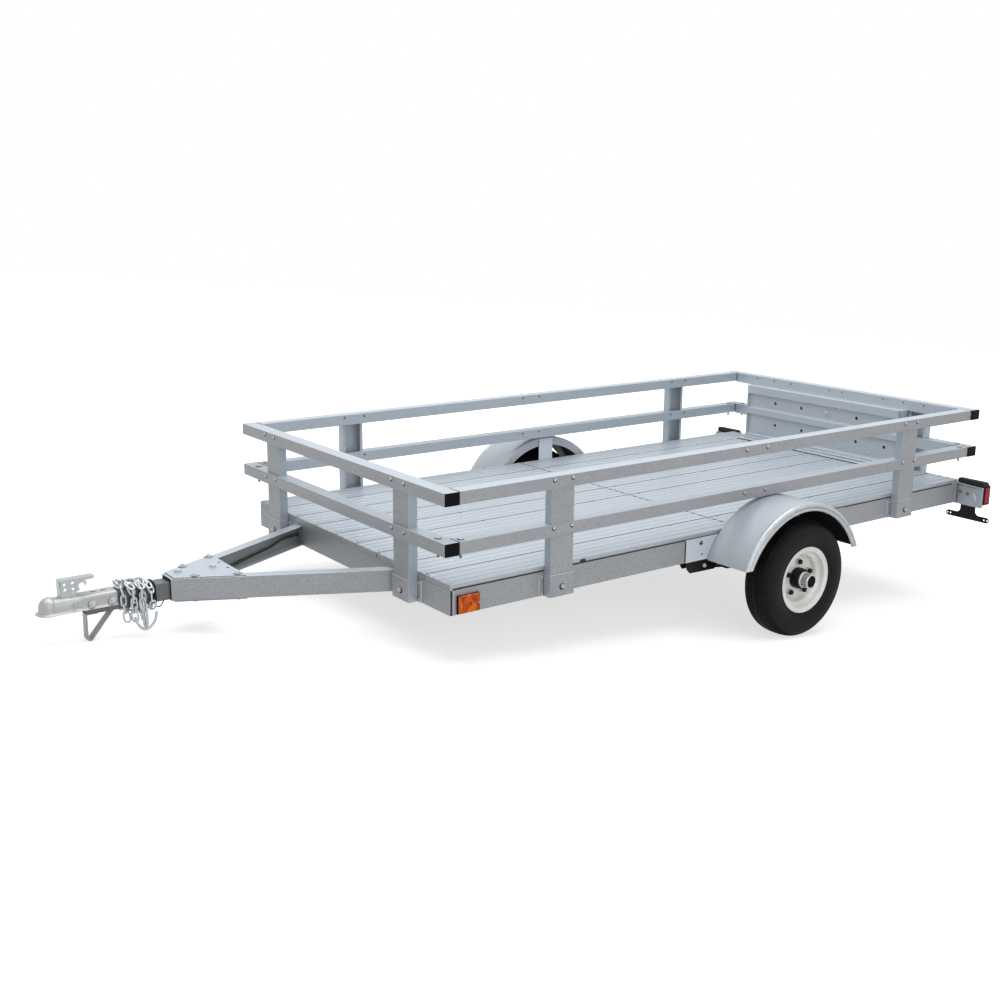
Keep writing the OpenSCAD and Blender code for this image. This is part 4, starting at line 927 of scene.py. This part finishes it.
hook_wide = ring_path([(0.648, 0.034, -0.02), (0.649, 0.034, -0.034), (0.657, 0.034, -0.054),
                       (0.672, 0.034, -0.066), (0.684, 0.034, -0.068), (0.698, 0.034, -0.06),
                       (0.708, 0.034, -0.044), (0.713, 0.034, -0.026)], 0.0042, "hook_wide")
hook_deep = ring_path([(0.68, 0.042, 0.012), (0.68, 0.044, -0.03), (0.68, 0.04, -0.056),
                       (0.68, 0.03, -0.063), (0.68, 0.02, -0.056), (0.68, 0.016, -0.03),
                       (0.681, 0.018, 0.002), (0.682, 0.026, 0.014)], 0.0042, "hook_deep")
stem = ring_path([(0.684, 0.03, -0.058), (0.686, 0.033, -0.03), (0.688, 0.035, 0.0),
                  (0.689, 0.036, 0.03), (0.692, 0.034, 0.046)], 0.0042, "hook_stem")
hooks = set_down(smoothed([hook_wide, hook_deep, stem], 60), "safety_chain_hooks", chain_bright)
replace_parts(hooks, "safety_chains")


# ---- Lamp wiring ----
# Thin insulated wires from the front of the tongue to the frame: wound in a black coil round
# the tube, a short loop below it, then one brown and one green along the right beam.
def cable_skin(name, colour):
    return grained_plastic(name, tuple(c * 0.7 for c in colour), colour, 0.45, 300)


def beam_y(x):
    return 0.034 + (0.6 - x) * math.tan(math.atan2(0.296, 0.6))


coil_line = []
for k in range(49):
    coil_line.append(wrap_point(-k / 16 + 0.3, 0.661 - 0.0062 * k / 16, 0.0042
                                + 0.0015 * math.sin(k)))
coil = ring_path(coil_line, 0.0034, "coil")
loop = ring_path([(0.648, 0.028, 0.012), (0.646, 0.026, -0.002), (0.641, 0.022, -0.01),
                  (0.632, 0.018, -0.013), (0.622, 0.012, -0.008), (0.613, 0.004, -0.001),
                  (0.606, -0.008, 0.001), (0.598, -0.02, 0.001)], 0.0017, "loop")
loops = set_down(smoothed([coil, loop], 60), "wiring_coil",
                 cable_skin("black_cable", (0.02, 0.02, 0.021)))
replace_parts(loops, "wiring_harness")
for name, colour, lift in (("wire_brown", (0.09, 0.05, 0.035), 0.0),
                           ("wire_green", (0.03, 0.13, 0.09), 0.0052)):
    wire_line = [(0.604, -0.0285, 0.01 + lift), (0.59, -0.03, 0.009 + lift)]
    for x in (0.56, 0.5, 0.44, 0.39, 0.34, 0.29, 0.24, 0.19, 0.14, 0.09, 0.05, 0.02, 0.001):
        sway = 0.01 * math.sin(9.5 * x + (0.4 if lift else 1.1))
        high = 0.012 + lift + 0.012 * (1 + math.sin(13 * x)) / 2 + (0.014 if x < 0.12 else 0)
        wire_line.append((x, -beam_y(x) + 0.0075 + abs(sway) * 0.5, high))
    wire = smoothed(ring_path(wire_line, 0.0019, name), 60)
    set_down(wire, name, cable_skin(name + "_skin", colour))


# ---- Mudguards ----
# Each is one galvanised sheet rolled over the wheel, with a flange folded down beside the frame
# and a bright double bead rolled down its outer edge. A strap on the frame carries its middle.
GUARD_X, GUARD_TOP, GUARD_FOOT, GUARD_R = -1.31, 0.186, -0.003, 0.3
half_angle = math.acos(1 - (GUARD_TOP - GUARD_FOOT) / GUARD_R)

# Across the sheet: distance from the middle plane of the trailer, and how far it stands out
GUARD_CROSS = [(0.614, -0.034), (0.6135, -0.022), (0.6135, -0.006), (0.6145, -0.002),
               (0.618, 0.0), (0.65, 0.0), (0.7, 0.0), (0.75, 0.0), (0.778, 0.0),
               (0.783, 0.001), (0.7868, 0.0026), (0.7905, 0.0022), (0.7935, -0.0006),
               (0.7965, -0.0036), (0.799, -0.007), (0.7984, -0.0104), (0.795, -0.0124),
               (0.7966, -0.0144), (0.7998, -0.0176), (0.7996, -0.0222), (0.796, -0.0252),
               (0.7922, -0.0262)]
END_TRIM = 0.000022  # how fast the bead is cut back at the guard's ends, per mm squared
GUARD_STEPS = 72
guard_zinc = zinc_coat("galvanised_mudguard", (0.38, 0.41, 0.445), (0.455, 0.49, 0.53),
                       metallic=0.2, rough=(0.4, 0.5), patch=300, contrast=0.3)
bead_zinc = zinc_coat("rolled_bead", (0.37, 0.39, 0.41), (0.53, 0.55, 0.57), metallic=0.4,
                      rough=(0.32, 0.44), patch=120, contrast=0.5)
# Near black for the faces turned in towards the wheel and for the flange's face towards the wheel
inner_black = grained_plastic("black_undercoat", (0.006, 0.006, 0.006), (0.016, 0.016, 0.016), 0.8,
                            260)


def guard_point(i, j):
    y, lift = GUARD_CROSS[j]
    past_sheet = max(0, 1000 * (y - 0.778)) + max(0, -1000 * lift if y > 0.78 else 0)
    angle = (half_angle - END_TRIM * past_sheet ** 2) * (2 * i / GUARD_STEPS - 1)
    return (GUARD_X + (GUARD_R + lift) * math.sin(angle), y,
            GUARD_TOP - GUARD_R + (GUARD_R + lift) * math.cos(angle))


for name, node, side in (("mudguard_left", "fender_left", 1),
                         ("mudguard_right", "fender_right", -1)):
    guard = thickened(lay_sheet(GUARD_STEPS + 1, len(GUARD_CROSS), guard_point), 0.0018)
    if side < 0:
        guard.data.transform(Matrix.Scale(-1, 4, (0, 1, 0)))
        guard.data.flip_normals()
    smoothed(guard, 50)
    set_down(guard, name, guard_zinc)
    guard.data.materials.append(bead_zinc)
    guard.data.materials.append(inner_black)
    for face in guard.data.polygons:
        y = abs(face.center.y)
        outward = face.center - Vector(spin["pos_m"])
        outward.y = 0
        if y < 0.78 and (face.normal.dot(outward.normalized()) < -0.3
                          or (y < 0.617 and face.normal.y * side > 0.6)):
            face.material_index = 2
        elif y > 0.7785:
            face.material_index = 1
    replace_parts(guard, node)
# Near-black strips on the straps under the mudguards
strap_blacks = [bar((-1.3462, side * 0.6132, 0.0795), (-1.2738, side * 0.6142, 0.1775), 0)
               for side in (-1, 1)]
set_down(strap_blacks, "strap_undercoat", inner_black)


# ---- Hangers, springs and axle ----
# Black painted hangers and leaf springs, and a square axle tube clamped to the springs by four
# bolts a side. Galvanised plates on the frame stand above the hangers.
def gloss_paint(name, dark, light, rough=0.3, shine=0.12):
    material, tree, shader = new_material(name)
    soil = noise(tree, 14, 6)["Fac"]
    two_tones(tree, shader, mapped(tree, soil, 0.35, 0.62, 0, 1), dark, light)
    roughened(tree, shader, soil, rough - 0.08, rough + 0.14)
    bumped(tree, shader, noise(tree, 160)["Fac"], 0.0002, 0.15)
    shader.inputs["Specular IOR Level"].default_value = shine
    return material


black_paint = gloss_paint("black_paint", (0.005, 0.005, 0.006), (0.012, 0.012, 0.013))
for node in ("spring_hangers", "leaf_springs", "axle_clamps"):
    finish_node(node, black_paint, 0.0012)
axle_paint = gloss_paint("axle_paint", (0.007, 0.007, 0.008), (0.015, 0.015, 0.016), 0.36)
finish_node("axle", axle_paint, 0.0015)
TIE_HOLE_X, TIE_HOLE_Z = -1.004, 0.059
hanger_plates = []
for side in (-1, 1):
    for outline in ([(-0.9385, -0.0005), (-0.943, -0.024), (-0.958, -0.0385),
                     (-1.072, -0.041), (-1.0845, -0.024), (-1.085, -0.0005)],
                    [(-1.591, -0.0005), (-1.594, -0.024), (-1.606, -0.0385),
                     (-1.708, -0.041), (-1.737, -0.024), (-1.741, -0.0005)]):
        hanger_plates.append(placed(cut_plate(outline, 0.0025), Matrix.Translation(
            (0, 0.613 if side > 0 else -0.6105, 0)) @ running_right))
set_down(hanger_plates, "hanger_outer_plates", black_paint)
hanger_bolts = [((AXLE_X + d, side * 0.6132, -0.02), way) for side, way in SIDES
                for d in (0.318, -0.318)]
set_out(hex_bolt(0.0082, washer=False, stub=0.01), hanger_bolts, "hanger_bolts", bright_bolts)
# A black strip at each side plate's front edge: painted shade along that edge
plate_edges = [bar((-0.9352, side * 0.6101, 0.001), (-0.933, side * 0.6129, 0.074), 0)
               for side in (-1, 1)]
set_down(plate_edges, "plate_edge_gaps", painted_shade_black)


def facing_out(side, x, y, z):
    """Turns a piece's Z out to the trailer's side, at a place."""
    return (Matrix.Translation((x, side * y, z)) @ Matrix.Rotation(-side * math.pi / 2, 4, "X"))


# A low ring round each tie hole in the bright edge zinc: the hole's rolled edge, with a painted highlight on it
tie_rims = [placed(turned_ring([(8.6, 0), (11.5, 0), (11.5, 0.9), (10, 1.4), (8.6, 0.9)], 24),
                   facing_out(side, TIE_HOLE_X, 0.613, TIE_HOLE_Z)) for side in (-1, 1)]
set_down(tie_rims, "tie_hole_rims", edge_highlight_zinc)
clamp_nuts = [((AXLE_X + dx, side * 0.5825 + dy, -0.111), DOWN)
              for side in (-1, 1) for dx in (-0.026, 0.026) for dy in (-0.028, 0.028)]
set_out(hex_bolt(0.0085), clamp_nuts, "axle_clamp_nuts", bright_bolts)
# A small black disc on each hanger plate: painted shade in its hole
small_holes = [placed(peg(0.0035, 0, 0.0003, 12), facing_out(side, -1.009, 0.6132, 0.02))
               for side in (-1, 1)]
set_down(small_holes, "hanger_plate_holes", painted_shade_black)
strap_bolts = [((GUARD_X + d, side * 0.6133, 0.03), way) for side, way in reversed(SIDES)
               for d in (-0.02, 0.02)]
set_out(hex_bolt(0.006), strap_bolts, "mudguard_strap_bolts", bright_bolts)


# ---- Tyres ----
# Small bias-ply trailer tyres: four plain ribs between narrow grooves, fine cuts round the
# shoulders, and smooth side walls with raised rings near the tread and the bead.
rubber, tree, shader = new_material("tyre_rubber")
dust = noise(tree, 24, 6)["Fac"]
two_tones(tree, shader, mapped(tree, dust, 0.4, 0.7, 0, 1), (0.0028, 0.0028, 0.0034),
          (0.0075, 0.0075, 0.0082))
roughened(tree, shader, dust, 0.5, 0.72)
bumped(tree, shader, noise(tree, 900)["Fac"], 0.0002, 0.25)
shader.inputs["Specular IOR Level"].default_value = 0.14

tread = [(0.0, 204.0), (6.5, 204.0), (7.5, 200.6), (9.5, 200.6), (10.5, 203.9), (18.0, 203.5),
         (19.0, 200.0), (21.0, 200.0), (22.0, 203.0), (30.0, 201.8)]
shoulder = [(31.0, 199.0), (32.5, 198.8), (33.5, 200.8), (37.5, 199.2), (41.5, 197.0),
            (45.5, 194.0), (48.8, 190.2)]
wall = [(51.4, 186.2), (52.6, 184.4), (53.6, 183.2), (54.2, 180.2), (56.4, 172.0),
        (57.8, 162.0), (58.0, 152.0), (57.4, 142.0), (55.6, 132.0), (53.4, 125.0),
        (52.9, 124.2), (53.4, 122.6), (53.2, 120.2), (52.4, 119.0), (51.0, 116.6),
        (48.5, 115.4), (46.0, 109.0), (45.6, 101.4), (43.0, 101.3), (30.0, 101.3)]
half_outline = tread + shoulder + wall
inner_half = [(30.0, 113.0), (49.0, 152.0), (42.0, 180.0), (26.0, 192.0), (0.0, 193.0)]
outline = [(r, a) for a, r in half_outline + inner_half]
tyre_outline = outline + [(r, -a) for r, a in outline if a > 0][::-1]
CUTS = 300
to_wheel = {}
for side_name, side in (("left", 1), ("right", -1)):
    tyre = turned_ring(tyre_outline, CUTS)
    for corner in tyre.data.vertices:
        r = math.hypot(corner.co.x, corner.co.y)
        along = abs(corner.co.z)
        step = round(math.atan2(corner.co.y, corner.co.x) / (2 * math.pi) * CUTS)
        depth = 0
        if r > 0.1885 and 0.037 < along < 0.049:
            depth = 0.0032
        elif r > 0.201 and (0.0215 < along < 0.0305 or 0.01 < along < 0.0185):
            depth = 0.0014
        if step % 2 == 0 and depth:
            corner.co.x *= (r - depth) / r
            corner.co.y *= (r - depth) / r
    smoothed(tyre, 28)
    to_wheel[side] = facing_out(side, AXLE_X, 0.733, AXLE_Z)
    set_down(tyre, "tyre_tread_" + side_name, rubber, "wheel_" + side_name, to_wheel[side])
    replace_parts(tyre, "tyre_" + side_name)


# ---- Rims ----
# Pressed steel rims in cream gloss paint: a rolled flange, a bead seat, a well, and a deep disc
# with a raised ring and five stud holes.
cream = gloss_paint("cream_paint", (0.8, 0.785, 0.75), (0.88, 0.865, 0.83), 0.28, 0.5)
rim_outer = [(113.6, 52.0), (115.5, 50.6), (115.2, 48.2), (108.0, 46.6), (103.0, 45.4),
             (101.0, 42.0), (100.6, 32.0), (97.0, 27.0), (86.0, 21.0), (84.5, 16.0),
             (84.5, -16.0), (86.0, -21.0), (97.0, -27.0), (100.6, -32.0), (101.0, -42.0),
             (103.0, -45.4), (108.0, -46.6), (115.2, -48.2), (115.5, -50.6), (113.6, -52.0)]
rim_inner = [(111.4, -51.4), (106.0, -49.6), (99.6, -47.6), (97.6, -43.0), (97.4, -33.0),
             (94.6, -29.6), (83.6, -23.6), (81.2, -17.0), (81.0, -8.0)]
disc_back = [(76.4, -2.2), (73.6, -1.0), (71.0, 4.0), (68.0, 6.4), (33.5, 6.5)]
disc_face = [(33.5, 10.0), (67.0, 9.8), (70.4, 8.6), (73.4, 4.6), (75.6, 2.0), (78.6, 1.2),
             (81.0, 2.6)]
rim_front = [(81.2, 17.0), (83.6, 23.6), (94.6, 29.6), (97.4, 33.0), (97.6, 43.0),
             (99.6, 47.6), (106.0, 49.6), (111.4, 51.4)]
rim_outline = rim_outer + rim_inner + disc_back + disc_face + rim_front
for side_name, side in (("left", 1), ("right", -1)):
    rim = turned_ring(rim_outline, 96)
    smoothed(rim, 35)
    set_down(rim, "rim_painted_" + side_name, cream, "wheel_" + side_name, to_wheel[side])
    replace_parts(rim, "rim_" + side_name)


# ---- Hubs ----
# A black painted hub barrel stands out of the disc, and a bright pressed cap with a black rubber
# plug closes it. Five studs with cone nuts hold the rim.
barrel_paint = gloss_paint("hub_paint", (0.004, 0.004, 0.005), (0.01, 0.01, 0.011), 0.34)
stud_black = gloss_paint("stud_black", (0.005, 0.005, 0.005), (0.012, 0.012, 0.012), 0.42)
barrel_outline = [(12.6, -60.0), (31.0, -60.0), (33.0, -58.0), (33.0, -6.0), (64.0, -6.0),
                  (66.0, -4.5), (66.0, 5.0), (64.5, 6.4), (33.0, 6.4), (33.0, 10.2),
                  (36.0, 12.0), (36.0, 28.0), (34.6, 30.0), (34.6, 38.0), (33.0, 41.0),
                  (30.0, 42.0), (22.2, 42.0), (12.6, 42.0)]
cap_outline = [(0.0, 68.0), (20.6, 68.0), (20.6, 76.4), (22.2, 78.0), (25.0, 78.0),
               (26.6, 76.6), (26.6, 73.5), (25.4, 72.5), (25.4, 50.0), (27.0, 49.0),
               (28.2, 47.0), (28.2, 42.2), (0.0, 42.2)]
plug_outline = [(0.0, 68.2), (20.4, 68.2), (20.4, 74.2), (18.8, 75.8), (14.4, 75.6),
                (13.0, 73.8), (9.4, 73.8), (8.2, 75.2), (6.0, 75.6), (4.6, 74.0),
                (0.0, 74.0)]
NUT_CIRCLE, NUTS = 0.1143 / 2, 5
cap_zinc = bolt_metal("hub_cap_zinc", (0.34, 0.35, 0.36), (0.62, 0.63, 0.64), 0.24)
cap_zinc.node_tree.nodes["Principled BSDF"].inputs["Metallic"].default_value = 0.75
for side_name, side in (("left", 1), ("right", -1)):
    body = "wheel_" + side_name
    barrel = smoothed(turned_ring(barrel_outline, 48), 30)
    set_down(barrel, "hub_barrel_" + side_name, barrel_paint, body, to_wheel[side])
    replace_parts(barrel, "hub_" + side_name)
    cap = smoothed(turned_ring(cap_outline, 48), 30)
    set_down(cap, "hub_cap_" + side_name, cap_zinc, body, to_wheel[side])
    plug = smoothed(turned_ring(plug_outline, 40), 30)
    set_down(plug, "hub_plug_" + side_name, black_plastic, body, to_wheel[side])
    nuts, studs = [], []
    for k in range(NUTS):
        angle = math.radians(-20 * side) + 2 * math.pi * k / NUTS
        at = Matrix.Translation((NUT_CIRCLE * math.cos(angle), NUT_CIRCLE * math.sin(angle), 0))
        nuts.append(placed(joined([peg(0.0116, 0.012, 0.018, 6, 0.0008, 1),
                                   peg(0.0105, 0.0098, 0.0125, 20, 0.001)]), at))
        studs.append(placed(joined([peg(0.0062, 0.004, 0.019, 14, 0.0008),
                                    peg(0.0086, 0.0178, 0.0275, 14, 0.0022)]), at))
    set_down(nuts, "wheel_nuts_" + side_name, bright_bolts, body, to_wheel[side])
    set_down(smoothed(studs, 30), "wheel_studs_" + side_name, stud_black, body, to_wheel[side])


# ---- Side marker lamps ----
# An amber moulded lens on a black base, held by two screws. The lens is cut into four fields of
# fine ribs with a small raised reflector in the middle.
def lens_plastic(name, dark, light, scale):
    material, tree, shader = new_material(name)
    where = add_node(tree, "TexCoord").outputs["Object"]
    cells = add_node(tree, "TexVoronoi", {"Vector": where, "Scale": scale, "Randomness": 0.15},
                     distance="CHEBYCHEV").outputs["Distance"]
    fields = add_node(tree, "TexVoronoi", {"Vector": where, "Scale": scale / 3.5})
    field_tone = add_node(tree, "SeparateColor", {"Color": fields.outputs["Color"]})
    glow = blended(tree, [(cells, 0.55), (field_tone.outputs[0], 0.45)])
    two_tones(tree, shader, mapped(tree, glow, 0.08, 0.62, 0, 1), dark, light)
    roughened(tree, shader, cells, 0.12, 0.3)
    bumped(tree, shader, cells, 0.0006, 0.35)
    shader.inputs["Specular IOR Level"].default_value = 0.12
    shader.inputs["Coat Weight"].default_value = 0.04
    shader.inputs["Coat Roughness"].default_value = 0.1
    return material


amber = lens_plastic("amber_lens", (0.2, 0.02, 0.002), (0.86, 0.15, 0.003), 170)
MARKER_X, MARKER_W, MARKER_Z, MARKER_H = -0.1, 0.078, 0.002, 0.056


def lens_point(i, j):
    u, v = i / 32, j / 24
    x = MARKER_X + 0.002 + (MARKER_W - 0.006) * u
    z = MARKER_Z + 0.003 + (MARKER_H - 0.005) * v
    edge = min(1, 14 * min(u, 1 - u, v, 1 - v))
    ribs = (i if (u > 0.5) == (v > 0.5) else j) % 2
    middle = max(abs(u - 0.5) * 7, abs(v - 0.5) * 6)
    raised = 0.0014 * (1 - middle) if middle < 1 else 0
    return (x, 0.6165 + 0.0058 * edge ** 0.5 - 0.0005 * ribs * (edge >= 1) + raised, z)


lenses, bases, screws = [], [], []
for side, out_way in SIDES:
    lens = thickened(lay_sheet(33, 25, lens_point), 0.002, flip=True)
    placed(lens, Matrix.Scale(side, 4, (0, 1, 0)))
    if side < 0:
        lens.data.flip_normals()
    lenses.append(lens)
    bases.append(bar((MARKER_X, side * 0.6102, MARKER_Z),
                     (MARKER_X + MARKER_W, side * 0.617, MARKER_Z + MARKER_H), 0.0015))
    screws += [((MARKER_X + x, side * 0.6222, 0.03), out_way) for x in (0.0095, 0.0675)]
markers = set_down(lenses, "marker_lenses", amber)
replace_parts(markers, "side_markers")
set_down(bases, "marker_bases", black_plastic)
set_out(carriage_bolt(0.0034), screws, "marker_screws", bright_bolts)
reflectors = [((MARKER_X + 0.0385, side * 0.6236, 0.031), way) for side, way in SIDES]
dark_amber = lens_plastic("dark_amber_reflector", (0.05, 0.014, 0.004), (0.2, 0.05, 0.008), 260)
set_out(joined([peg(0.0072, 0, 0.0012, 6, 0.0005, 1), peg(0.0042, 0, 0.002, 6, 0.0005, 1)]),
        reflectors, "marker_reflectors", dark_amber)


# ---- Tail lamps ----
# A dark moulded housing with a sloping top behind each lamp bracket, a red side lens on its
# outer end, and red lenses to the rear. The bracket is zinc with its edges turned back.
finish_node("tail_lamp_brackets", frame_zinc, 0.0008)
housing_plastic = grained_plastic("lamp_housing", (0.02, 0.019, 0.025), (0.042, 0.04, 0.05),
                                  0.5, 500)
red = lens_plastic("red_lens", (0.13, 0.002, 0.004), (0.46, 0.006, 0.012), 300)
LAMP_Y0, LAMP_Y1 = 0.5995, 0.719
lamp_side = [(-2.4508, 0.003), (-2.493, 0.003), (-2.496, 0.008), (-2.496, 0.07),
             (-2.492, 0.08), (-2.48, 0.0935), (-2.474, 0.096), (-2.4508, 0.096)]
housings, side_lenses, rear_lenses, rims, screws = [], [], [], [], []
for side in (1, -1):
    start = LAMP_Y1 if side > 0 else -LAMP_Y0
    housing = placed(cut_plate(lamp_side, LAMP_Y1 - LAMP_Y0),
                     Matrix.Translation((0, start, 0)) @ running_right)
    applied(housing, "BEVEL", width=0.004, segments=3, limit_method="ANGLE",
            angle_limit=math.radians(40))
    housings.append(smoothed(housing, 30))
    side_lenses.append(bar((-2.49, side * 0.7185, 0.012), (-2.457, side * 0.7232, 0.074),
                           0.0022))
    rear_lenses.append(bar((-2.4966, side * 0.6045, 0.008), (-2.49, side * 0.714, 0.066),
                           0.0018))
    rims.append(bar((-2.4935, side * 0.715, 0.004), (-2.4535, side * 0.7205, 0.079), 0.0018))
    screws += [((-2.4398, side * 0.623, 0.046), FORWARD),
               ((-2.4398, side * 0.656, 0.042), FORWARD)]
lamp_bodies = set_down(housings, "tail_lamp_housings", housing_plastic)
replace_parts(lamp_bodies, "tail_lamps")
set_down(rims, "tail_lamp_side_rims", black_plastic)
set_down(side_lenses + rear_lenses, "tail_lamp_lenses", red)
flanges = []
for side in (1, -1):
    flanges.append(ring_path([(-2.4405, side * 0.59, 0.0775), (-2.4385, side * 0.62, 0.0765),
                              (-2.4385, side * 0.655, 0.075), (-2.44, side * 0.69, 0.0735),
                              (-2.4425, side * 0.7215, 0.072)], 0.0036, "flange"))
set_down(smoothed(flanges, 60), "lamp_bracket_flanges", plate_zinc)
brass_screws = bolt_metal("yellow_plated_screws", (0.16, 0.11, 0.04), (0.34, 0.25, 0.11), 0.4)
set_out(hex_bolt(0.0055, stub=0.008), screws, "tail_lamp_screws", brass_screws)
slots = [placed(cut_plate([(-0.002, -0.013), (0.003, -0.014), (0.004, -0.008), (-0.001, 0.014),
                           (-0.006, 0.014), (-0.007, 0.01)], 0.0003),
                Matrix.Translation((-2.4399, side * 0.69, 0.034)) @ running_forward
                @ Matrix.Rotation(0.22 * side, 4, "Z")) for side in (1, -1)]
pale_slot = zinc_coat("bright_slot", (0.68, 0.7, 0.72), (0.8, 0.82, 0.84), metallic=0.1)
set_down(slots, "lamp_bracket_slots", pale_slot)


# ---- Licence plate bracket ----
# A black painted steel T under the left lamp, with rounded ends and two screw holes in each.
bracket_black = gloss_paint("licence_bracket_paint", (0.003, 0.003, 0.004),
                            (0.007, 0.007, 0.008), 0.4, 0.2)
finish_node("licence_bracket", bracket_black, 0.0004)
fillets = [placed(cut_plate([(side * y, z) for y, z in (
    (0.0325, -0.0385), (0.0325, -0.0225), (0.0355, -0.031), (0.041, -0.036),
    (0.049, -0.0395))], 0.0024), Matrix.Translation((-2.44495, 0.661, 0)) @ running_forward)
    for side in (-1, 1)]
set_down(fillets, "licence_bracket_fillets", bracket_black)


# ---- Gate ----
# The folding rear panel: a wide galvanised plank stood on edge, with a proud top band and a
# proud rib across the middle, rows of round holes, and a hinged foot plate on the deck.
GATE_Y0, GATE_Y1 = -0.475, 0.345
FACE, RECESS, BACK_EDGE = -2.382, -2.3935, -2.4268
SHEET = 0.0018
gate_steps = [(FACE + 0.0005, 0.3335), (FACE, 0.332), (FACE, 0.301), (FACE - 0.001, 0.299),
              (RECESS, 0.296), (RECESS, 0.24), (RECESS + 0.0015, 0.2375),
              (FACE - 0.001, 0.2345), (FACE, 0.2325), (FACE, 0.208), (FACE - 0.001, 0.206),
              (RECESS, 0.203), (RECESS, 0.1165), (RECESS + 0.0015, 0.114),
              (FACE - 0.001, 0.111), (FACE, 0.109), (FACE, 0.0985)]
front_line = [(BACK_EDGE, 0.3335)] + gate_steps + [(FACE - 0.012, 0.098)]
back_line = [(BACK_EDGE, 0.3317), (FACE - SHEET, 0.3317), (FACE - SHEET, 0.3018),
             (RECESS - SHEET, 0.2972), (RECESS - SHEET, 0.2388), (FACE - SHEET, 0.2317),
             (FACE - SHEET, 0.2088), (RECESS - SHEET, 0.2042), (RECESS - SHEET, 0.1153),
             (FACE - SHEET, 0.1082), (FACE - SHEET, 0.0998), (FACE - 0.012, 0.0998)]
panel = placed(cut_plate(front_line + back_line[::-1], GATE_Y1 - GATE_Y0),
               Matrix.Translation((0, GATE_Y1, 0)) @ running_right)
HOLES = [(y, 0.27) for y in (-0.319, -0.169, 0.13, 0.279)]
HOLES += [(y, 0.171) for y in (-0.314, -0.161, -0.01, 0.134, 0.279)]
facing_front = Matrix.Rotation(math.pi / 2, 4, "Y")
drilled(panel, 0.0072, 0.02, [Matrix.Translation((RECESS, y, z)) @ facing_front
                              for y, z in HOLES], 20)
gate_zinc = zinc_coat("galvanised_gate", (0.41, 0.445, 0.48), (0.5, 0.54, 0.58), metallic=0.25,
                      rough=(0.36, 0.46), contrast=0.3)
ends = [bar((BACK_EDGE, y0, 0.0985), (FACE - 0.0004, y0 + 0.002, 0.333), 0)
        for y0 in (GATE_Y0, GATE_Y1 - 0.002)]
panel = set_down([panel] + ends, "gate_sheet", gate_zinc, "gate")
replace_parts(panel, "gate_panel")
stiffeners = [bar((BACK_EDGE, y - 0.015, 0.1), (RECESS - 0.0022, y + 0.015, 0.3315), 0.001)
              for y in (-0.4, -0.09, 0.24)]
set_down(stiffeners, "gate_stiffeners", gate_zinc, "gate")
shadows = [placed(peg(0.0095, 0, 0.0004, 16),
                  Matrix.Translation((RECESS - 0.0024, y, z)) @ facing_front) for y, z in HOLES]
set_down(shadows, "gate_hole_shadows", painted_shade_black, "gate")
gate_bolts = [((RECESS, y, 0.133), FORWARD) for y in (-0.387, -0.241, -0.094, 0.052, 0.199)]
set_out(carriage_bolt(0.0058), gate_bolts, "gate_bolts", bright_bolts, "gate")
latch = [bar((RECESS, -0.04, 0.26), (RECESS + 0.0025, -0.002, 0.282), 0.0008),
         bar((RECESS + 0.0025, -0.03, 0.265), (RECESS + 0.0075, -0.012, 0.277), 0.002),
         bar((RECESS + 0.006, -0.024, 0.2685), (RECESS + 0.0105, -0.018, 0.2735), 0.001)]
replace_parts(set_down(latch, "gate_catch", bright_bolts, "gate"), "gate_latch")

finish_node("gate_hinge_plate", gate_zinc, 0.0003, 1)
KNUCKLES = 5
knuckle_step = (GATE_Y1 - GATE_Y0) / KNUCKLES
knuckle_len = knuckle_step - 0.001
moving_knuckles = []
for i in range(1, KNUCKLES, 2):
    y0 = GATE_Y0 + i * knuckle_step + 0.0005
    moving_knuckles += [placed(peg(0.005, 0, knuckle_len, 24, 0.0005),
                               Matrix.Translation((-2.376, y0, 0.099))
                               @ Matrix.Rotation(-math.pi / 2, 4, "X")),
                        bar((FACE - 0.001, y0, 0.0995), (-2.3762, y0 + knuckle_len, 0.1035))]
set_down(moving_knuckles, "gate_knuckles", gate_zinc, "gate")

# Stops on the frame stand at each end of the gate, and strips behind the gate under the rails.
# Black strips are painted shade in the slits beside the stops and under the gate's foot plate
LEFT_STOP, RIGHT_STOP = (0.3456, 0.353), (-0.4912, -0.4757)
slits = [bar((-2.333, GATE_Y0, 0.0931), (-2.329, GATE_Y1, 0.0954), 0)]
slits += [bar((-2.4336, y0, z0), (-2.4318, y1, z1), 0)
          for y0, y1 in ((0.3452, 0.3538), (-0.492, -0.475))
          for z0, z1 in ((0.095, 0.188), (0.23, 0.334))]
stops = [bar((-2.4325, y0, 0.0935), (-2.396, y1, 0.3335), 0.0008)
         for y0, y1 in (LEFT_STOP, RIGHT_STOP)]
stops += [bar((-2.446, y0, z0), (-2.4325, y1, z1), 0.0008)
          for y0, y1 in (LEFT_STOP, (RIGHT_STOP[0], -0.4785))
          for z0, z1 in ((0.096, 0.189), (0.2295, 0.3335))]
stops += [bar((-2.4329, GATE_Y0, z0), (-2.4272, y1, z1))
          for y1, z0, z1 in ((GATE_Y1, 0.192, 0.226), (0.354, 0.333, 0.3385))]
set_down(stops, "gate_stops", gate_zinc)
set_down(slits, "gate_slits", painted_shade_black)
